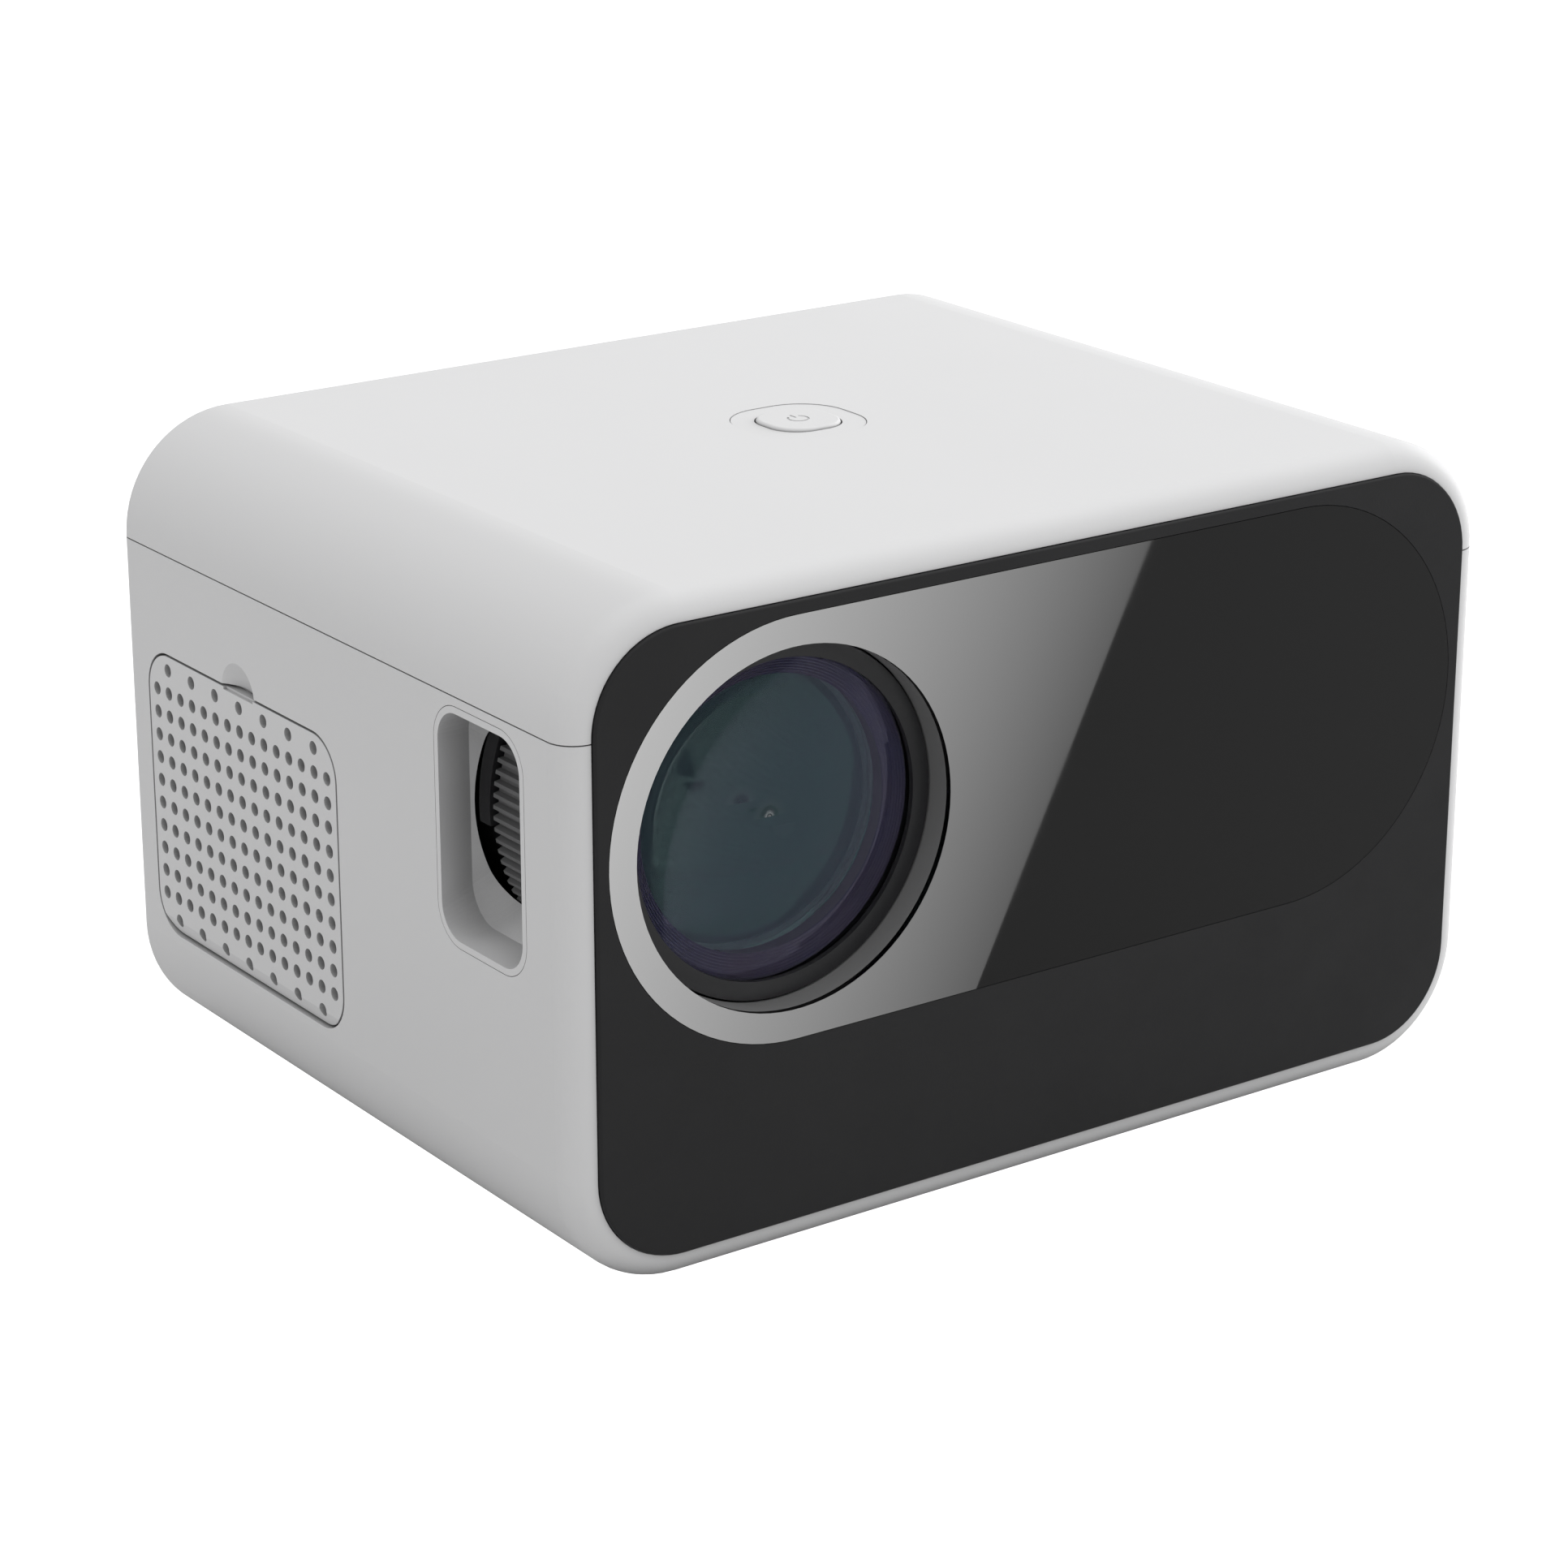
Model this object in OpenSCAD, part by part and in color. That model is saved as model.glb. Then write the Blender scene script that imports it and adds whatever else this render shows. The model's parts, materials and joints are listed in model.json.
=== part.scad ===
// Home projector: a two-part casing round a folded single-panel light engine.
// Millimetres, +Z up, the front faces -Y, and the origin is the centre of the footprint on the table.

/* [Case] */
// Width of the casing, left to right
case_w = 200; // [190:1:260]
// Depth of the casing, front to back, without the front plate
case_d = 152; // [150:1:200]
// Height of the casing without its feet
case_h = 120.8; // [119:0.1:160]
// Wall thickness of both shells
wall = 2.4; // [2.2:0.1:3]
// Radius of the four long edges that run front to back
corner_r = 22; // [20:0.5:26]
// Radius that rounds the front face into the sides
front_round = 5; // [4:0.1:6]
// Radius that rounds the back face into the sides
back_round = 3; // [2.8:0.1:6]
// Height of the top cover, from its roof down to the seam
cover_h = 22.2; // [18:0.1:24]
// Width of the seam between the two shells
seam_gap = 0.24; // [0.1:0.02:0.5]
// Height of the tongue that closes the seam from inside
tongue_h = 2.5; // [1.5:0.1:4]
// Thickness of the tongue
tongue_t = 1.2; // [0.8:0.1:2]

/* [Front plate] */
// Space between the plate and the side of the casing
plate_side = 5.2; // [4:0.05:9]
// Space between the plate and the roof
plate_top = 5.05; // [4:0.05:9]
// Space between the plate and the underside
plate_bottom = 5.1; // [4:0.05:9]
// How far the plate stands out of the casing
plate_proud = 0.8; // [0.6:0.1:1.2]
// How deep the plate sits in the casing
plate_sink = 1.2; // [0.8:0.1:1.4]
// Corner radius of the plate
plate_r = 16.8; // [12:0.1:19]
// Rounding of the plate's front edge
plate_edge = 0.5; // [0.3:0.1:0.6]
// Height of the glass capsule
glass_h = 74.7; // [72:0.1:78]
// Space between the capsule and the plate's side
glass_side = 2.4; // [1.8:0.05:4]
// Space between the capsule and the plate's top
glass_top = 2.4; // [1.8:0.05:4]
// Thickness of the capsule
glass_t = 1.2; // [0.8:0.1:1.4]
// Gap round the capsule
glass_gap = 0.12; // [0.05:0.01:0.3]

/* [Lens] */
// Radius of the lens opening in the capsule
lens_hole_r = 32; // [31.8:0.1:32.5]
// Depth of the opening, from the capsule to the barrel
hood_depth = 5.7; // [5:0.1:6]
// Radius of the front element
front_lens_r = 29.2; // [27:0.1:29.3]
// How much smaller the second element is than the sliding barrel's bore
second_lens_step = 4.9; // [3.8:0.1:6.8]
// How much smaller the rear element is than the sliding barrel's bore
rear_lens_step = 6.8; // [3.8:0.1:8.8]
// Outer radius of the sliding barrel
slide_r = 30.4; // [30:0.1:30.5]
// Wall of the sliding barrel
slide_t = 1.6; // [1.4:0.1:1.9]
// Clearance between the sliding barrel and the fixed one
slide_clear = 0.2; // [0.1:0.05:0.3]
// Wall of the fixed barrel
fixed_t = 1.5; // [1.3:0.1:1.6]
// Clearance between the fixed barrel and the focus ring
ring_clear = 0.3; // [0.2:0.05:0.35]
// Radius of the focus ring over its teeth
ring_r = 36; // [35.8:0.1:36.5]
// Depth of the teeth
tooth_h = 1.1; // [0.8:0.1:1.2]
// Number of teeth
teeth = 110; // [80:1:140]
// Length of the focus ring
ring_l = 19.5; // [17:0.5:21]
// Focus travel each way
focus_travel = 3; // [2:0.1:3]
// Turn of the focus ring each way, in degrees
focus_turn = 45; // [30:1:50]

/* [Focus window] */
// Length of the window along the side
window_l = 27.85; // [24:0.05:30]
// Height of the window
window_h = 42.8; // [36:0.1:43]
// Corner radius of the window
window_r = 7; // [5:0.5:9]
// Width of the window's rim
window_rim = 1.2; // [0.8:0.1:2]
// Space between the window and the casing's front
window_front = 12.6; // [11:0.05:14]
// Space between the window's top and the seam
window_top = 1.75; // [1.2:0.05:4]

/* [Filter cover] */
// Length of the filter cover
grille_l = 68.8; // [60:0.1:72]
// Height of the filter cover
grille_h = 54.8; // [50:0.1:56]
// Corner radius of the filter cover
grille_r = 7.5; // [5:0.5:9]
// Thickness of the filter cover
grille_t = 2.2; // [1.6:0.1:2.2]
// Gap round the filter cover
grille_gap = 0.5; // [0.4:0.05:0.7]
// Space between the cover and the casing's back
grille_back = 8.8; // [8:0.1:14]
// Height of the cover's middle below the lens axis
grille_drop = 24.4; // [22:0.1:27]
// Diameter of the air holes
hole_d = 2.5; // [1.6:0.1:3]
// Spacing of the air holes
hole_pitch = 4.49; // [4:0.01:4.49]
// Air holes in a full row
hole_columns = 15; // [5:2:15]
// Full rows of air holes
hole_rows = 10; // [4:1:10]
// Width of the finger notch
notch_w = 12; // [9:0.1:14]
// Depth of the finger notch
notch_depth = 2.1; // [1:0.1:2.1]
// Thickness of the dust filter
filter_t = 3; // [2:0.1:3]

/* [Power button] */
// Width of the ring round the button
button_ring_w = 23.2; // [21:0.1:26]
// Width of the button
button_w = 14.5; // [12:0.1:15]
// How far the button stands above the roof
button_proud = 0.45; // [0.2:0.05:0.8]
// Travel of the button
button_travel = 0.8; // [0.5:0.05:1]
// Gap round the button
button_gap = 0.3; // [0.2:0.05:0.4]
// Button's offset from the middle of the roof, to the right
button_right = 1.3; // [0:0.1:4]
// Button's offset from the middle of the roof, to the back
button_behind = 1.7; // [0:0.1:4]

/* [Base] */
// Height of the feet
foot_h = 3; // [2:0.1:5]
// Radius of the feet
foot_r = 7; // [5:0.5:9]
// Depth of the pocket that each foot sits in
foot_sink = 1.2; // [0.8:0.1:1.4]
// Spacing of the feet across the casing
foot_x = 132; // [110:1:140]
// Spacing of the feet front to back
foot_y = 104; // [90:1:110]
// Radius of the tripod thread
tripod_r = 3.3; // [3.2:0.05:3.4]
// Depth of the tripod thread
tripod_l = 9; // [7:0.5:10]

/* [Rear ports] */
// Length of the rear panel
panel_l = 150; // [146:1:154]
// Height of the rear panel
panel_h = 20; // [18:0.5:22]
// Thickness of the rear panel
panel_t = 2; // [1.6:0.1:2.2]

/* [Light engine] */
// Half of the light engine's outside width and height
engine_half = 32; // [31.8:0.1:33]
// Wall of the light engine
engine_wall = 2; // [1.6:0.1:2.4]
// Distance from the lens axis to the light engine's lamp end
engine_reach = 81; // [80:1:86]
// Width of the display panel
lcd_w = 54; // [48:0.5:56]
// Height of the display panel
lcd_h = 50; // [44:0.5:54]
// Number of cooling fins behind the lamp
fin_count = 13; // [7:1:15]
// Length of the cooling fins
fin_l = 40; // [30:1:44]

/* [Cooling fan] */
// Side of the fan's square frame
fan_size = 70; // [60:1:72]
// Thickness of the fan
fan_t = 15; // [12:0.5:16]
// Number of fan blades
blades = 7; // [5:1:9]

/* [Hidden] */
$fn = 64;
eps = 0.01;

// Faces of the casing
y_front = -(case_d + plate_proud) / 2 + plate_proud;
y_back = y_front + case_d;
y_plate = y_front - plate_proud;
z_base = foot_h;
z_roof = foot_h + case_h;
z_seam = z_roof - cover_h;
z_floor = z_base + wall;
x_left = -case_w / 2;
x_right = case_w / 2;

// Front plate and capsule
plate_gap = 0.15;
plate_t = plate_proud + plate_sink;
plate_w = case_w - 2 * plate_side;
plate_h = case_h - plate_top - plate_bottom;
plate_z = z_base + plate_bottom + plate_h / 2;
glass_w = plate_w - 2 * glass_side;
glass_z = z_roof - plate_top - glass_top - glass_h / 2;

// Lens axis, along Y
lens_x = -(glass_w - glass_h) / 2;
lens_z = glass_z;
y_hood = y_plate + hood_depth;
hood_t = 1.2;
hood_lip = 2.6;
second_lens_r = slide_r - slide_t - second_lens_step;
rear_lens_r = slide_r - slide_t - rear_lens_step;
fixed_in = slide_r + slide_clear;
fixed_out = fixed_in + fixed_t;
ring_in = fixed_out + ring_clear;
head_r = lens_hole_r - 0.4;
head_l = 7;
y_head_back = y_hood + head_l;
y_fixed_front = y_head_back + focus_travel + 0.6;
y_ring_front = y_fixed_front + 1.7;
y_ring_back = y_ring_front + ring_l;
y_pin = y_ring_front + ring_l / 2;
y_engine = y_ring_back + 31;
pin_r = 1.5;
pin_clear = 0.2;
pin_angles = [30, 150, 270];
collar_r = ring_r + 0.3;
flange_w = 2 * engine_half - 2;
flange_t = 3;
flange_screw = 26.5;
rib_pitch = 0.55;
flange_holes = [for (sx = [-1, 1], sz = [-1, 1]) [lens_x + sx * flange_screw, lens_z + sz * flange_screw]];

// Front element's rim and bulge, and the second element's place
front_rim_y = y_hood + 1.4;
front_bulge = 3.4;
second_y = y_head_back + 1.9;

// Focus window
window_y = y_front + window_front + window_l / 2;
window_z = z_seam - window_top - window_h / 2;
window_gap = 0.12;
window_flange = 2;
window_skin = 1.2;
pocket_t = 1.4;
pocket_depth = 15.5;
pocket_flare = 3.6;

// Filter cover
grille_y = y_back - grille_back - grille_l / 2;
grille_z = lens_z - grille_drop;
cover_z0 = grille_z - grille_h / 2;
bevel_in = 0.8;
bevel_up = 2.6;
hook_y = 20;
hook_w = 8;
hook_t = 1.2;
ledge = 1.3;
ledge_t = 1.6;
filter_margin = 5;
filter_gap = 0.8;
notch_ball = (pow(notch_w / 2, 2) + pow(notch_depth, 2)) / (2 * notch_depth);

// Power button
board_t = 1.6;
button_x = button_right;
button_y = y_front + case_d / 2 + button_behind;
ring_sink = 0.1;
squircle = 0.405;
key_z = z_roof - 12.1;
switch_z = key_z + board_t;
switch_h = 2.5;
plunger_h = 0.7;
key_pins = [for (x = [-9, 9]) [button_x + x, button_y + 15]];

// Light engine
engine_x0 = lens_x - engine_half - 2;
engine_x1 = lens_x + engine_reach;
engine_y = y_engine + engine_half;
engine_z0 = lens_z - engine_half;
engine_z1 = lens_z + engine_half;
slot_clear = 0.25;
slot_depth = 1;
optic_t = 2;
field_x = lens_x + 36;
lcd_x = field_x + 8;
lcd_t = 3;
collimator_x = lcd_x + 9;
heat_glass_x = collimator_x + 9;
condenser_x = heat_glass_x + 7;
condenser_r = 26;
condenser_t = 7.5;
led_window = 42;
led_size = 40;
led_t = 2;
ear_l = 9;
ear_t = 3;
post_r = 3.2;
ears = [
    [lens_x + 42, y_engine - 4.6], [engine_x1 - 9.5, y_engine - 4.6],
    [engine_x1 - 9.5, y_engine + 2 * engine_half + 4.6]
];

// Lamp heat sink and fan
sink_x = engine_x1 + led_t + 0.2;
sink_base = 4;
sink_h = 58;
fin_t = 1.2;
fan_x1 = x_right - wall - 4;
fan_x0 = fan_x1 - fan_t;
fan_behind = 5.8;
fan_y = y_back - wall - fan_behind - fan_size / 2;
fan_z = grille_z;
fan_hole = fan_size / 2 - 1.6;
fan_hub_r = 14;
fan_screw = fan_size / 2 - 4;
fan_holes = [for (sy = [-1, 1], sz = [-1, 1]) [fan_y + sy * fan_screw, fan_z + sz * fan_screw]];

// Boards
board_z = z_floor + 5;
board_top = board_z + board_t;
port_z = board_top + 3.4;
main_x0 = lens_x - 2.95;
main_x1 = main_x0 + 70;
panel_x = main_x0 + 60;
panel_z = port_z + 2;
inlet_x = panel_x + panel_l / 2 - 29;
main_l = 56;
main_y1 = y_back - wall - 1;
main_y0 = main_y1 - main_l;
power_x0 = main_x1 + 8;
power_x1 = fan_x0 - 3;
power_l = 52;
power_y1 = y_back - 18;
power_y0 = power_y1 - power_l;
jack_x = main_x0 + 7;
usb_xs = [jack_x + 15, jack_x + 30];
hdmi_x = usb_xs[1] + 17;
ir_x = hdmi_x + 13;
jack_r = 1.8;
jack_l = 14;

// Speaker
speaker_x = x_right - 56;
speaker_y = y_front + 42;
speaker_r = 25;
speaker_h = 19;

// Fastenings
screw_r = 1.45;
screw_clear = 0.05;
head_screw_r = 2.7;
case_post_r = 3.9;
post_wall = wall + tongue_t + case_post_r + 0.1;
case_posts = [
    [lens_x - 14, y_back - post_wall], [x_right - 34, y_back - post_wall],
    [lens_x + 50, y_front + post_wall], [x_right - 34, y_front + post_wall]
];
post_joint_z = z_seam - 22;
tripod_y = y_front + 62;
tripod_x = 0;
tripod_boss_r = 8;
feet = [for (sx = [-1, 1], sy = [-1, 1]) [sx * foot_x / 2, (y_front + y_back) / 2 + sy * foot_y / 2]];

// Colours
white = "whitesmoke";
black = [0.14, 0.14, 0.15];
dark = [0.22, 0.22, 0.23];
board_green = [0.05, 0.3, 0.16];
metal = [0.72, 0.73, 0.75];
clear_glass = [0.7, 0.82, 0.85, 0.5];

// ---------- shared shapes ----------

// Rectangle with round corners, centred
module round_rect(w, h, r) {
    square([w - 2 * r, h], center = true);
    square([w, h - 2 * r], center = true);
    for (x = [-1, 1], y = [-1, 1])
        translate([x * (w / 2 - r), y * (h / 2 - r)]) circle(r);
}

// Side profile of a plate: u runs outwards to its edge, v across its thickness.
// Each side has its own radius.
module edge_profile(u, v, r0, r1) {
    translate([0, r0]) square([u, v - r0 - r1]);
    square([u - r0, r0]);
    translate([0, v - r1]) square([u - r1, r1]);
    translate([u - r0, r0]) circle(r0);
    translate([u - r1, v - r1]) circle(r1);
}

// Block w by h with corner radius r, d thick, its edges rounded by r0 at z = 0 and by r1 at z = d
module soft_block(w, h, d, r, r0, r1) {
    for (i = [0 : 3]) {
        sx = (i == 0 || i == 3) ? 1 : -1;
        sy = i < 2 ? 1 : -1;
        along = i % 2 == 0 ? w : h;
        across = i % 2 == 0 ? h : w;
        translate([sx * (w / 2 - r), sy * (h / 2 - r), 0]) rotate([0, 0, 90 * i])
            rotate_extrude(angle = 90) edge_profile(r, d, r0, r1);
        rotate([0, 0, 90 * i]) translate([-along / 2 + r, across / 2 - r, 0])
            rotate([90, 0, 90]) linear_extrude(along - 2 * r) edge_profile(r, d, r0, r1);
    }
    translate([-w / 2 + r, -h / 2 + r, 0]) cube([w - 2 * r, h - 2 * r, d]);
}

// Cylinder along Y, from y0 to y1
module y_rod(x, z, r, y0, y1) {
    translate([x, y1, z]) rotate([90, 0, 0]) cylinder(r = r, h = y1 - y0);
}

// Tube along Y on the lens axis
module lens_tube(r_out, r_in, y0, y1) {
    difference() {
        y_rod(lens_x, lens_z, r_out, y0, y1);
        y_rod(lens_x, lens_z, r_in, y0 - 1, y1 + 1);
    }
}

// Turned piece on the lens axis: the profile's x is the radius and its y is the place along Y
module turned() {
    translate([lens_x, 0, lens_z]) rotate([-90, 0, 0]) rotate_extrude() children();
}

// Outline in the YZ plane, extruded along X from x0 to x1
module x_slab(x0, x1, y, z) {
    translate([x0, y, z]) rotate([90, 0, 90]) linear_extrude(x1 - x0) children();
}

// Outline in the XZ plane, extruded along Y from y0 to y1
module y_slab(y0, y1, x, z) {
    translate([x, y1, z]) rotate([90, 0, 0]) linear_extrude(y1 - y0) children();
}

// Box from its two corners
module box(low, high) {
    translate(low) cube(high - low);
}

// Faces of a closed tube whose rings have the given number of sides
function tube_faces(sides, steps) = concat(
    [[for (k = [0 : sides - 1]) k]],
    [for (i = [0 : steps - 1], k = [0 : sides - 1], half = [0, 1])
        let (a = sides * i + k, b = sides * i + (k + 1) % sides)
            half == 0 ? [a, a + sides, b + sides] : [a, b + sides, b]],
    [[for (k = [sides - 1 : -1 : 0]) sides * steps + k]]
);

// Wire of round section through a list of points, mitred at each bend
module wire(points, r) {
    n = len(points);
    sides = 8;
    unit = function(v) v / norm(v);
    dirs = [for (i = [0 : n - 1])
        unit(unit(points[min(i + 1, n - 1)] - points[min(i, n - 2)]) +
            unit(points[max(i, 1)] - points[max(i - 1, 0)]))];
    rings = [for (i = [0 : n - 1], k = [0 : sides - 1])
        let (u = unit(cross(dirs[i], [1, 2, 3])), w = cross(dirs[i], u), a = 360 * k / sides)
            points[i] + r * (cos(a) * u + sin(a) * w)];
    polyhedron(rings, tube_faces(sides, n - 1));
}

// Screw pointing up, its head's underside at z = 0
module screw(l, head_r, head_h) {
    difference() {
        union() {
            cylinder(r = screw_r, h = l, $fn = 24);
            translate([0, 0, -head_h]) cylinder(r = head_r, h = head_h, $fn = 24);
        }
        for (a = [0, 90])
            rotate([0, 0, a]) translate([-head_r * 0.6, -0.3, -head_h - eps])
                cube([head_r * 1.2, 0.6, head_h * 0.55]);
    }
}

// ---------- casing ----------

// Outside of the casing, moved inwards by inset on every face
module case_block(inset) {
    translate([0, y_back - inset, (z_base + z_roof) / 2]) rotate([90, 0, 0])
        soft_block(case_w - 2 * inset, case_h - 2 * inset, case_d - 2 * inset, corner_r - inset,
            max(back_round - inset, 0.5), max(front_round - inset, 0.5));
}

// Everything above the seam, lifted by lift
module above_seam(lift) {
    translate([x_left - 1, y_front - 1, z_seam + lift]) cube([case_w + 2, case_d + 2, cover_h + 1]);
}

module case_shell() {
    difference() {
        case_block(0);
        case_block(wall);
        y_slab(y_front - 1, y_front + plate_sink + 0.05, 0, plate_z)
            round_rect(plate_w + 2 * plate_gap, plate_h + 2 * plate_gap, plate_r + plate_gap);
        y_rod(lens_x, lens_z, lens_hole_r + hood_t + 0.3, y_front - 1, y_front + wall + 1);
    }
}

// Ring inside both walls that closes the seam, fixed to the lower shell
module seam_tongue() {
    difference() {
        intersection() {
            case_block(wall - eps);
            translate([-case_w / 2, y_front, z_seam - 3]) cube([case_w, case_d, 3 + tongue_h]);
        }
        case_block(wall + tongue_t + 0.15);
        difference() {
            above_seam(-seam_gap);
            case_block(wall + 0.15);
        }
        y_rod(lens_x, lens_z, lens_hole_r + hood_t + hood_lip + 0.4, y_front - 1, y_hood + 2);
        translate([x_left, window_y - window_l / 2 - 3, z_seam - 4])
            cube([wall + 4, window_l + 6 + pocket_flare, 4 - window_top + pocket_t - 0.2]);
    }
}

module case_post(i) {
    translate([case_posts[i][0], case_posts[i][1], z_floor - eps])
        cylinder(r = case_post_r, h = post_joint_z - z_floor + eps);
}

module case_post_holes(i) {
    translate([case_posts[i][0], case_posts[i][1], 0]) {
        cylinder(r = head_screw_r + 0.2, h = post_joint_z - 3);
        cylinder(r = screw_r + 0.15, h = z_roof / 2 + post_joint_z);
    }
}

// Place of the i-th foot
module at_foot(i) {
    translate([feet[i][0], feet[i][1], 0]) children();
}

// Outline of a filter cover or exhaust grille, grown by extra
module grille_outline(extra) {
    round_rect(grille_l + 2 * extra, grille_h + 2 * extra, grille_r + extra);
}

// Frame behind a side opening, which the plate rests on
module grille_ledge(x0, x1) {
    difference() {
        x_slab(x0, x1, grille_y, grille_z) grille_outline(2.4);
        x_slab(x0 - 1, x1 + 1, grille_y, grille_z) grille_outline(-ledge);
        translate([x0 - 1, grille_y - grille_l, grille_z - grille_h / 2 - 3])
            cube([ledge_t + 2, 2 * grille_l, 7]);
    }
}

// Air holes: full rows, and a half row above and below them
module air_holes(x0, x1) {
    half = (hole_columns - 1) / 2;
    for (r = [-1 : hole_rows], c = [0 : hole_columns - 1])
        if ((r >= 0 && r < hole_rows) || c % 2 == 1)
            translate([x0, grille_y + (c - half) * hole_pitch,
                grille_z + (r - (hole_rows - 1) / 2) * hole_pitch])
                rotate([0, 90, 0]) cylinder(d = hole_d, h = x1 - x0, $fn = 20);
}

module window_outline(extra) {
    round_rect(window_l + 2 * extra, window_h + 2 * extra, window_r + extra);
}

module standoff(x, y) {
    translate([x, y, z_floor - eps]) difference() {
        cylinder(r = 2.8, h = board_z - z_floor + eps);
        translate([0, 0, 1]) cylinder(r = screw_r + screw_clear, h = board_z);
    }
}

main_holes = [for (x = [main_x0 + 4, main_x1 - 4], y = [main_y0 + 4, main_y1 - 22]) [x, y]];
power_holes = [for (x = [power_x0 + 4, power_x1 - 4], y = [power_y0 + 4, power_y1 - 4]) [x, y]];

// Slots under the speaker
module speaker_slots() {
    for (i = [-4 : 4])
        translate([speaker_x + i * 4.6, speaker_y, z_base - 1]) linear_extrude(wall + 2)
            round_rect(1.8, 2 * sqrt(pow(speaker_r - 6, 2) - pow(i * 4.6, 2)), 0.85);
}

module bottom_case() {
    color(white) difference() {
        union() {
            difference() {
                case_shell();
                above_seam(-seam_gap / 2);
                x_slab(x_left - 1, x_left + wall + 1, grille_y, grille_z) grille_outline(grille_gap);
                x_slab(x_right - wall - 1, x_right + 1, grille_y, grille_z) grille_outline(grille_gap);
                x_slab(x_left - 1, x_left + wall + 1, window_y, window_z) window_outline(window_gap);
                translate([x_left + notch_depth - notch_ball, grille_y, grille_z + grille_h / 2 - 0.4])
                    sphere(notch_ball);
            }
            seam_tongue();
            grille_ledge(x_left + wall - eps, x_left + wall + ledge_t);
            grille_ledge(x_right - wall - ledge_t, x_right - wall + eps);
            for (i = [0 : len(case_posts) - 1]) case_post(i);
            for (p = concat(main_holes, power_holes)) standoff(p[0], p[1]);
            for (p = ears)
                translate([p[0], p[1], z_floor - eps]) cylinder(r = post_r, h = engine_z0 - z_floor + eps);
            for (p = fan_holes)
                translate([fan_x1 + 0.1, p[0], p[1]]) rotate([0, 90, 0])
                    cylinder(r = 2.6, h = x_right - wall - fan_x1 - 0.1 + eps);
            translate([tripod_x, tripod_y, z_floor - eps]) cylinder(r = tripod_boss_r, h = tripod_l + eps);
        }
        for (i = [0 : len(case_posts) - 1]) case_post_holes(i);
        for (p = ears)
            translate([p[0], p[1], engine_z0 - 9]) cylinder(r = screw_r + screw_clear, h = 10);
        for (p = fan_holes)
            translate([fan_x1, p[0], p[1]]) rotate([0, 90, 0]) cylinder(r = screw_r + screw_clear, h = 5.2);
        for (i = [0 : 3]) at_foot(i) cylinder(r = foot_r + 0.1, h = z_base + foot_sink);
        translate([tripod_x, tripod_y, z_base - 1]) cylinder(r = 5.5, h = tripod_l + 1);
        y_slab(y_back - wall - 1, y_back + 1, panel_x, panel_z) round_rect(panel_l + 0.2, panel_h + 0.2, 4);
        speaker_slots();
    }
}

module squircle_prism(w, z0, z1) {
    translate([button_x, button_y, z0]) linear_extrude(z1 - z0) round_rect(w, w, w * squircle);
}

module top_cover() {
    color(white) difference() {
        union() {
            intersection() {
                case_shell();
                above_seam(seam_gap / 2);
            }
            for (p = case_posts)
                translate([p[0], p[1], post_joint_z + 0.1])
                    cylinder(r = case_post_r - 0.4, h = z_roof - wall - post_joint_z);
            for (p = key_pins) {
                translate([p[0], p[1], switch_z]) cylinder(r = 2.4, h = z_roof - wall - switch_z + eps);
                translate([p[0], p[1], key_z - 0.3]) cylinder(r = 1.2, h = board_t + 1);
            }
        }
        for (p = case_posts)
            translate([p[0], p[1], post_joint_z]) cylinder(r = screw_r + screw_clear, h = 12);
        squircle_prism(button_ring_w + 0.3, z_roof - wall - 1, z_roof + 1);
    }
}

module button_ring() {
    color(white) difference() {
        union() {
            squircle_prism(button_ring_w, z_roof - wall - 0.1, z_roof - ring_sink);
            squircle_prism(button_ring_w + 3, z_roof - wall - 1.5, z_roof - wall - 0.1);
        }
        squircle_prism(button_w + 2 * button_gap, z_roof - wall - 3, z_roof + 1);
    }
}

// Generic on-off mark: an open ring and a bar
module power_mark(z0, z1) {
    translate([button_x, button_y, z0]) {
        rotate([0, 0, 125]) rotate_extrude(angle = 290) translate([1.7, 0]) square([0.4, z1 - z0]);
        translate([-0.2, 0.7, 0]) cube([0.4, 2, z1 - z0]);
    }
}

module power_button() {
    stem_z = switch_z + switch_h + plunger_h + button_travel + 0.1;
    color(white) {
        difference() {
            union() {
                translate([button_x, button_y, z_roof + button_proud - 2.2])
                    soft_block(button_w, button_w, 2.2, button_w * squircle, 0.4, 0.6);
                squircle_prism(button_w, z_roof - wall - 2, z_roof + button_proud - 1.5);
                squircle_prism(button_w + 2.4, z_roof - wall - 3.2, z_roof - wall - 1.6 - button_gap / 2);
                translate([button_x, button_y, stem_z]) cylinder(r = 2, h = z_roof - wall - 3 - stem_z);
            }
            power_mark(z_roof + button_proud - 0.15, z_roof + button_proud + 1);
        }
    }
}

module key_board() {
    color(board_green) difference() {
        translate([button_x - 14, button_y - 8, key_z]) cube([28, 27, board_t]);
        for (p = key_pins) translate([p[0], p[1], key_z - 1]) cylinder(r = 1.25, h = board_t + 2);
    }
}

module key_switch() {
    color(dark) translate([button_x - 3, button_y - 3, switch_z]) cube([6, 6, switch_h]);
    color(metal) translate([button_x, button_y, switch_z + switch_h - eps])
        cylinder(r = 1.7, h = plunger_h + eps);
}

// ---------- front ----------

module front_plate() {
    color(black) difference() {
        translate([0, y_front + plate_sink, plate_z]) rotate([90, 0, 0])
            soft_block(plate_w, plate_h, plate_t, plate_r, 0.2, plate_edge);
        y_slab(y_plate - 1, y_plate + glass_t, 0, glass_z)
            round_rect(glass_w + 2 * glass_gap, glass_h + 2 * glass_gap, glass_h / 2 + glass_gap - eps);
        y_rod(lens_x, lens_z, lens_hole_r + hood_t, y_plate - 1, y_plate + plate_t + 1);
    }
}

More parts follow.
